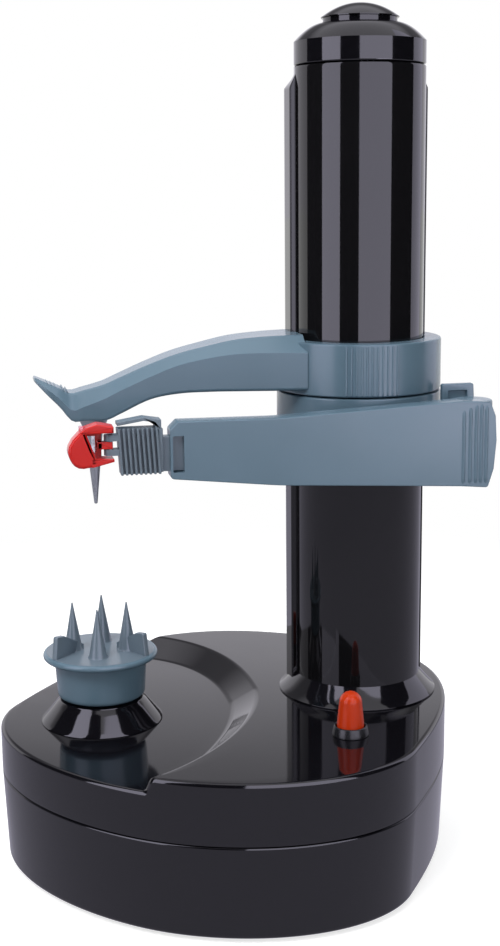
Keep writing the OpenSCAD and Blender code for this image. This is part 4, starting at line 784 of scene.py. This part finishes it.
# ---------------------------------------------------------------- start button
B = (-15.5, -48.6, 0)                                # foot of the button's axis
COIL_R, WIRE, COIL_TURNS, COIL_STEPS = 5.12, 0.42, 6.5, 20
COIL_LOW, COIL_HIGH = 33.42, 48.86
loops = []
for k in range(int(COIL_TURNS * COIL_STEPS) + 1):
    a = 2 * math.pi * k / COIL_STEPS
    z = COIL_LOW + (COIL_HIGH - COIL_LOW) * k / (COIL_TURNS * COIL_STEPS)
    loops.append([(B[0] + r * math.cos(a), B[1] + r * math.sin(a), h) for r, h in circle(COIL_R, z, WIRE, 8)])
coil = rings("button_spring_coil", loops, "spring_steel", sharp=60)
wear(coil, "base", "button_spring")
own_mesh(coil)

pr = [(0, 49.3), (6.4, 49.3), (6.4, 51.3), (4.7, 51.3), (4.7, 57.2), (4.62, 58.5)]
pr += [(4.6 - 0.65 * k / 6, 58.8 + 6.6 * k / 6) for k in range(1, 7)]
pr += arc(0, 65.5, 3.95, 8, 88, 10) + [(0, 69.45)]
button = revolve("start_button_dome", pr, "orange_button", B, n=72)
wear(button, "start_button", "start_button")
pr = [(5.0, 54.02), (6.1, 54.02), (6.28, 54.2), (6.25, 54.9), (5.85, 56.8), (5.7, 57.2), (5.45, 57.38),
      (5.2, 57.38), (5.03, 57.2), (5.0, 56.8)]
rim = revolve("start_button_collar", pr, "dark_plastic", B, n=96, closed=True)
wear(rim, "base", "button_collar")

# ---------------------------------------------------------------- carried-over CAD nodes
slots = {s["node"]: s["material_slot"] for s in frame["record"]["subparts"]}
for name, ob in frame["nodes"].items():
    ob.data.materials.clear()
    ob.data.materials.append(M[slots[name]])
    if not ob.hide_render:
        bevel(ob, 0.12, 2, 30)

# ---------------------------------------------------------------- floor, light and camera
def direct_rays(tree):
    """The light path's node, and a socket that is 1 for camera, glossy and transmission rays."""
    path = tree.nodes.new("ShaderNodeLightPath")
    socket = path.outputs["Is Camera Ray"]
    for kind in ("Is Glossy Ray", "Is Transmission Ray"):
        either = tree.nodes.new("ShaderNodeMath")
        either.operation = "MAXIMUM"
        tree.links.new(socket, either.inputs[0])
        tree.links.new(path.outputs[kind], either.inputs[1])
        socket = either.outputs[0]
    return path, socket


def mixed(tree, factor, first, second):
    """Shader that goes from first to second as the factor goes from 0 to 1."""
    mix = tree.nodes.new("ShaderNodeMixShader")
    for source, socket in zip((factor, first, second), mix.inputs):
        tree.links.new(source, socket)
    return mix.outputs[0]


# The floor is white at a distance, and pale grey with soft shadows near the part.
GREY_TO, WHITE_FROM = 0.22, 0.5                      # metres from the middle
floor_me = bpy.data.meshes.new("floor")
bm = bmesh.new()
bmesh.ops.create_grid(bm, x_segments=24, y_segments=24, size=9.0)
bm.to_mesh(floor_me)
bm.free()
floor = bpy.data.objects.new("floor", floor_me)
scene.collection.objects.link(floor)
fm = bpy.data.materials.new("pale_floor")
t, surface = bare_tree(fm)
path, direct = direct_rays(t)
grey = node(t, "ShaderNodeBsdfDiffuse", Color=(0.55, 0.55, 0.55, 1), Roughness=0.5)
glow = node(t, "ShaderNodeEmission", Color=(1, 1, 1, 1), Strength=0.7)
none = node(t, "ShaderNodeEmission", Color=(0, 0, 0, 1), Strength=0.0)
near = t.nodes.new("ShaderNodeAddShader")
t.links.new(grey.outputs[0], near.inputs[0])
t.links.new(mixed(t, direct, none.outputs[0], glow.outputs[0]), near.inputs[1])
spot = t.nodes.new("ShaderNodeTexCoord")
far = t.nodes.new("ShaderNodeVectorMath")
far.operation = "LENGTH"
t.links.new(spot.outputs["Object"], far.inputs[0])
fade = t.nodes.new("ShaderNodeMapRange")
fade.interpolation_type = "SMOOTHSTEP"
fade.inputs["From Min"].default_value, fade.inputs["From Max"].default_value = GREY_TO, WHITE_FROM
t.links.new(far.outputs["Value"], fade.inputs["Value"])
white = node(t, "ShaderNodeEmission", Color=(1, 1, 1, 1), Strength=1.0)
both = t.nodes.new("ShaderNodeMath")
both.operation = "MULTIPLY"
t.links.new(fade.outputs["Result"], both.inputs[0])
t.links.new(direct, both.inputs[1])
t.links.new(mixed(t, both.outputs[0], near.outputs[0], white.outputs[0]), surface)
floor_me.materials.append(fm)

# The world is white to the camera, banded in reflections, and a soft light for the rest.
world = bpy.data.worlds.new("studio")
scene.world = world
t, surface = bare_tree(world, "ShaderNodeOutputWorld")
soft = node(t, "ShaderNodeBackground", Color=(0.95, 0.97, 1.0, 1), Strength=0.36)
white = node(t, "ShaderNodeBackground", Color=(1, 1, 1, 1), Strength=1.0)
where = t.nodes.new("ShaderNodeTexCoord")
split = t.nodes.new("ShaderNodeSeparateXYZ")
t.links.new(where.outputs["Generated"], split.inputs[0])
band = t.nodes.new("ShaderNodeValToRGB")
stops = ((0.0, 1.0), (0.31, 1.0), (0.38, 0.5), (0.46, 0.22), (0.62, 0.25), (0.76, 0.9), (1.0, 1.0))
while len(band.color_ramp.elements) < len(stops):
    band.color_ramp.elements.new(0.5)
for e, (at, v) in zip(band.color_ramp.elements, stops):
    e.position, e.color = at, (v * 0.98, v * 0.96, v * 1.04, 1)
t.links.new(split.outputs["Z"], band.inputs[0])
studio = node(t, "ShaderNodeBackground", Strength=1.0)
t.links.new(band.outputs[0], studio.inputs["Color"])
path, direct = direct_rays(t)
shown = mixed(t, path.outputs["Is Camera Ray"], studio.outputs[0], white.outputs[0])
t.links.new(mixed(t, direct, soft.outputs[0], shown), surface)

TO_CAMERA = -90 - 15.6               # direction from the column
CARD_TOP, CARD_LIFT, APRON_LIFT = 2.2, 0.001, 0.0006     # metres


def dress(me, name, value):
    """Evenly glowing object that reflections alone see."""
    ob = bpy.data.objects.new(name, me)
    scene.collection.objects.link(ob)
    m = bpy.data.materials.new(name)
    tree, surface = bare_tree(m)
    glow = node(tree, "ShaderNodeEmission", Color=(0.98 * value, 0.95 * value, 1.16 * value, 1), Strength=1.0)
    tree.links.new(glow.outputs[0], surface)
    me.materials.append(m)
    ob.visible_camera = ob.visible_diffuse = ob.visible_shadow = ob.visible_transmission = False
    ob.visible_volume_scatter = False
    return ob


def card(name, a0, a1, distance, value):
    """Upright card from azimuth a0 to a1 round the column; 0 is towards the camera. Distance in metres."""
    a = math.radians(TO_CAMERA + (a0 + a1) / 2)
    d = Vector((math.cos(a), math.sin(a), 0))
    s = Vector((-d.y, d.x, 0))
    c = Vector(L(0, 0, 0)) + d * distance
    w = distance * math.tan(math.radians(a1 - a0) / 2)
    me = bpy.data.meshes.new(name)
    corners = ((-w, 0.0), (w, 0.0), (w, CARD_TOP), (-w, CARD_TOP))
    me.from_pydata([c + s * along + Vector((0, 0, z)) for along, z in corners], [], [(0, 1, 2, 3)])
    return dress(me, name, value)


def apron(name, r0, r1, value, n=96):
    """Flat ring on the floor round the base; radii in metres."""
    me = bpy.data.meshes.new(name)
    bm = bmesh.new()
    c = Vector(L(-30, 0, 0))
    lo, hi = [[bm.verts.new((x, y, APRON_LIFT)) for x, y in circle(c.x, c.y, r, n)] for r in (r0, r1)]
    for i in range(n):
        bm.faces.new((lo[i], lo[(i + 1) % n], hi[(i + 1) % n], hi[i]))
    bm.to_mesh(me)
    bm.free()
    return dress(me, name, value)


def flat(name, x0, x1, y0, y1, value):
    """Card lying on the floor, in metres from the column's axis."""
    me = bpy.data.meshes.new(name)
    a = L(0, 0, 0)
    corners = ((x0, y0), (x1, y0), (x1, y1), (x0 - 0.03, y1))
    me.from_pydata([(a[0] + x, a[1] + y, CARD_LIFT) for x, y in corners], [], [(0, 1, 2, 3)])
    return dress(me, name, value)


cards = [
    card("card_front", -33, 0, 1.1, 0.02),
    card("card_left", -102.5, -67, 1.1, 0.03),
    card("card_right", 57, 105, 1.1, 0.02),
    card("card_front_left", -67, -33, 1.2, 3.1),
    card("card_front_right", 0, 57, 1.2, 2.7),
    card("card_far_right", 105, 137, 1.2, 1.3),
    flat("card_low_right", 0.27, 0.95, -1.3, -0.84, 8.0),
    apron("card_floor", 0.0, 1.08, 0.45),
]


def lamp(name, place, aim, size, power):
    """Square area lamp, in metres and watts, that no reflection shows."""
    d = bpy.data.lights.new(name, "AREA")
    d.shape = "RECTANGLE"
    d.size = d.size_y = size
    d.energy = power
    ob = bpy.data.objects.new(name, d)
    scene.collection.objects.link(ob)
    ob.location = place
    ob.rotation_mode = "QUATERNION"
    ob.rotation_quaternion = (Vector(aim) - Vector(place)).to_track_quat("-Z", "Y")
    ob.visible_glossy = False


lamp("key", (-1.0, -0.9, 1.7), (0, 0, 0.15), 0.8, 22.0)
lamp("fill", (1.2, -1.2, 0.8), (0, 0, 0.15), 0.8, 5.0)
lamp("top", (0.0, 0.35, 1.9), (0, 0, 0.1), 1.4, 24.0)

# camera as fitted to the photograph
LENS, YAW, PITCH, ROLL = 56.236, math.radians(11.120), math.radians(11.181), math.radians(-0.5409)
PLACE = (-0.09411, -0.51054, 0.24206)                # metres
cam_data = bpy.data.cameras.new("camera")
cam = bpy.data.objects.new("camera", cam_data)
scene.collection.objects.link(cam)
cam_data.sensor_fit = "VERTICAL"
cam_data.sensor_height = 36.0
cam_data.lens = LENS
cam_data.clip_start, cam_data.clip_end = 0.02, 50.0
look = Vector((math.sin(YAW) * math.cos(PITCH), math.cos(YAW) * math.cos(PITCH), -math.sin(PITCH)))
right = Vector((math.cos(YAW), -math.sin(YAW), 0))
up = right.cross(look)
rolled_right = right * math.cos(ROLL) + up * math.sin(ROLL)
rolled_up = up * math.cos(ROLL) - right * math.sin(ROLL)
m = Matrix((rolled_right, rolled_up, -look)).transposed().to_4x4()
m.translation = Vector(PLACE)
cam.matrix_world = m
scene.camera = cam

scene.view_settings.view_transform = "Standard"
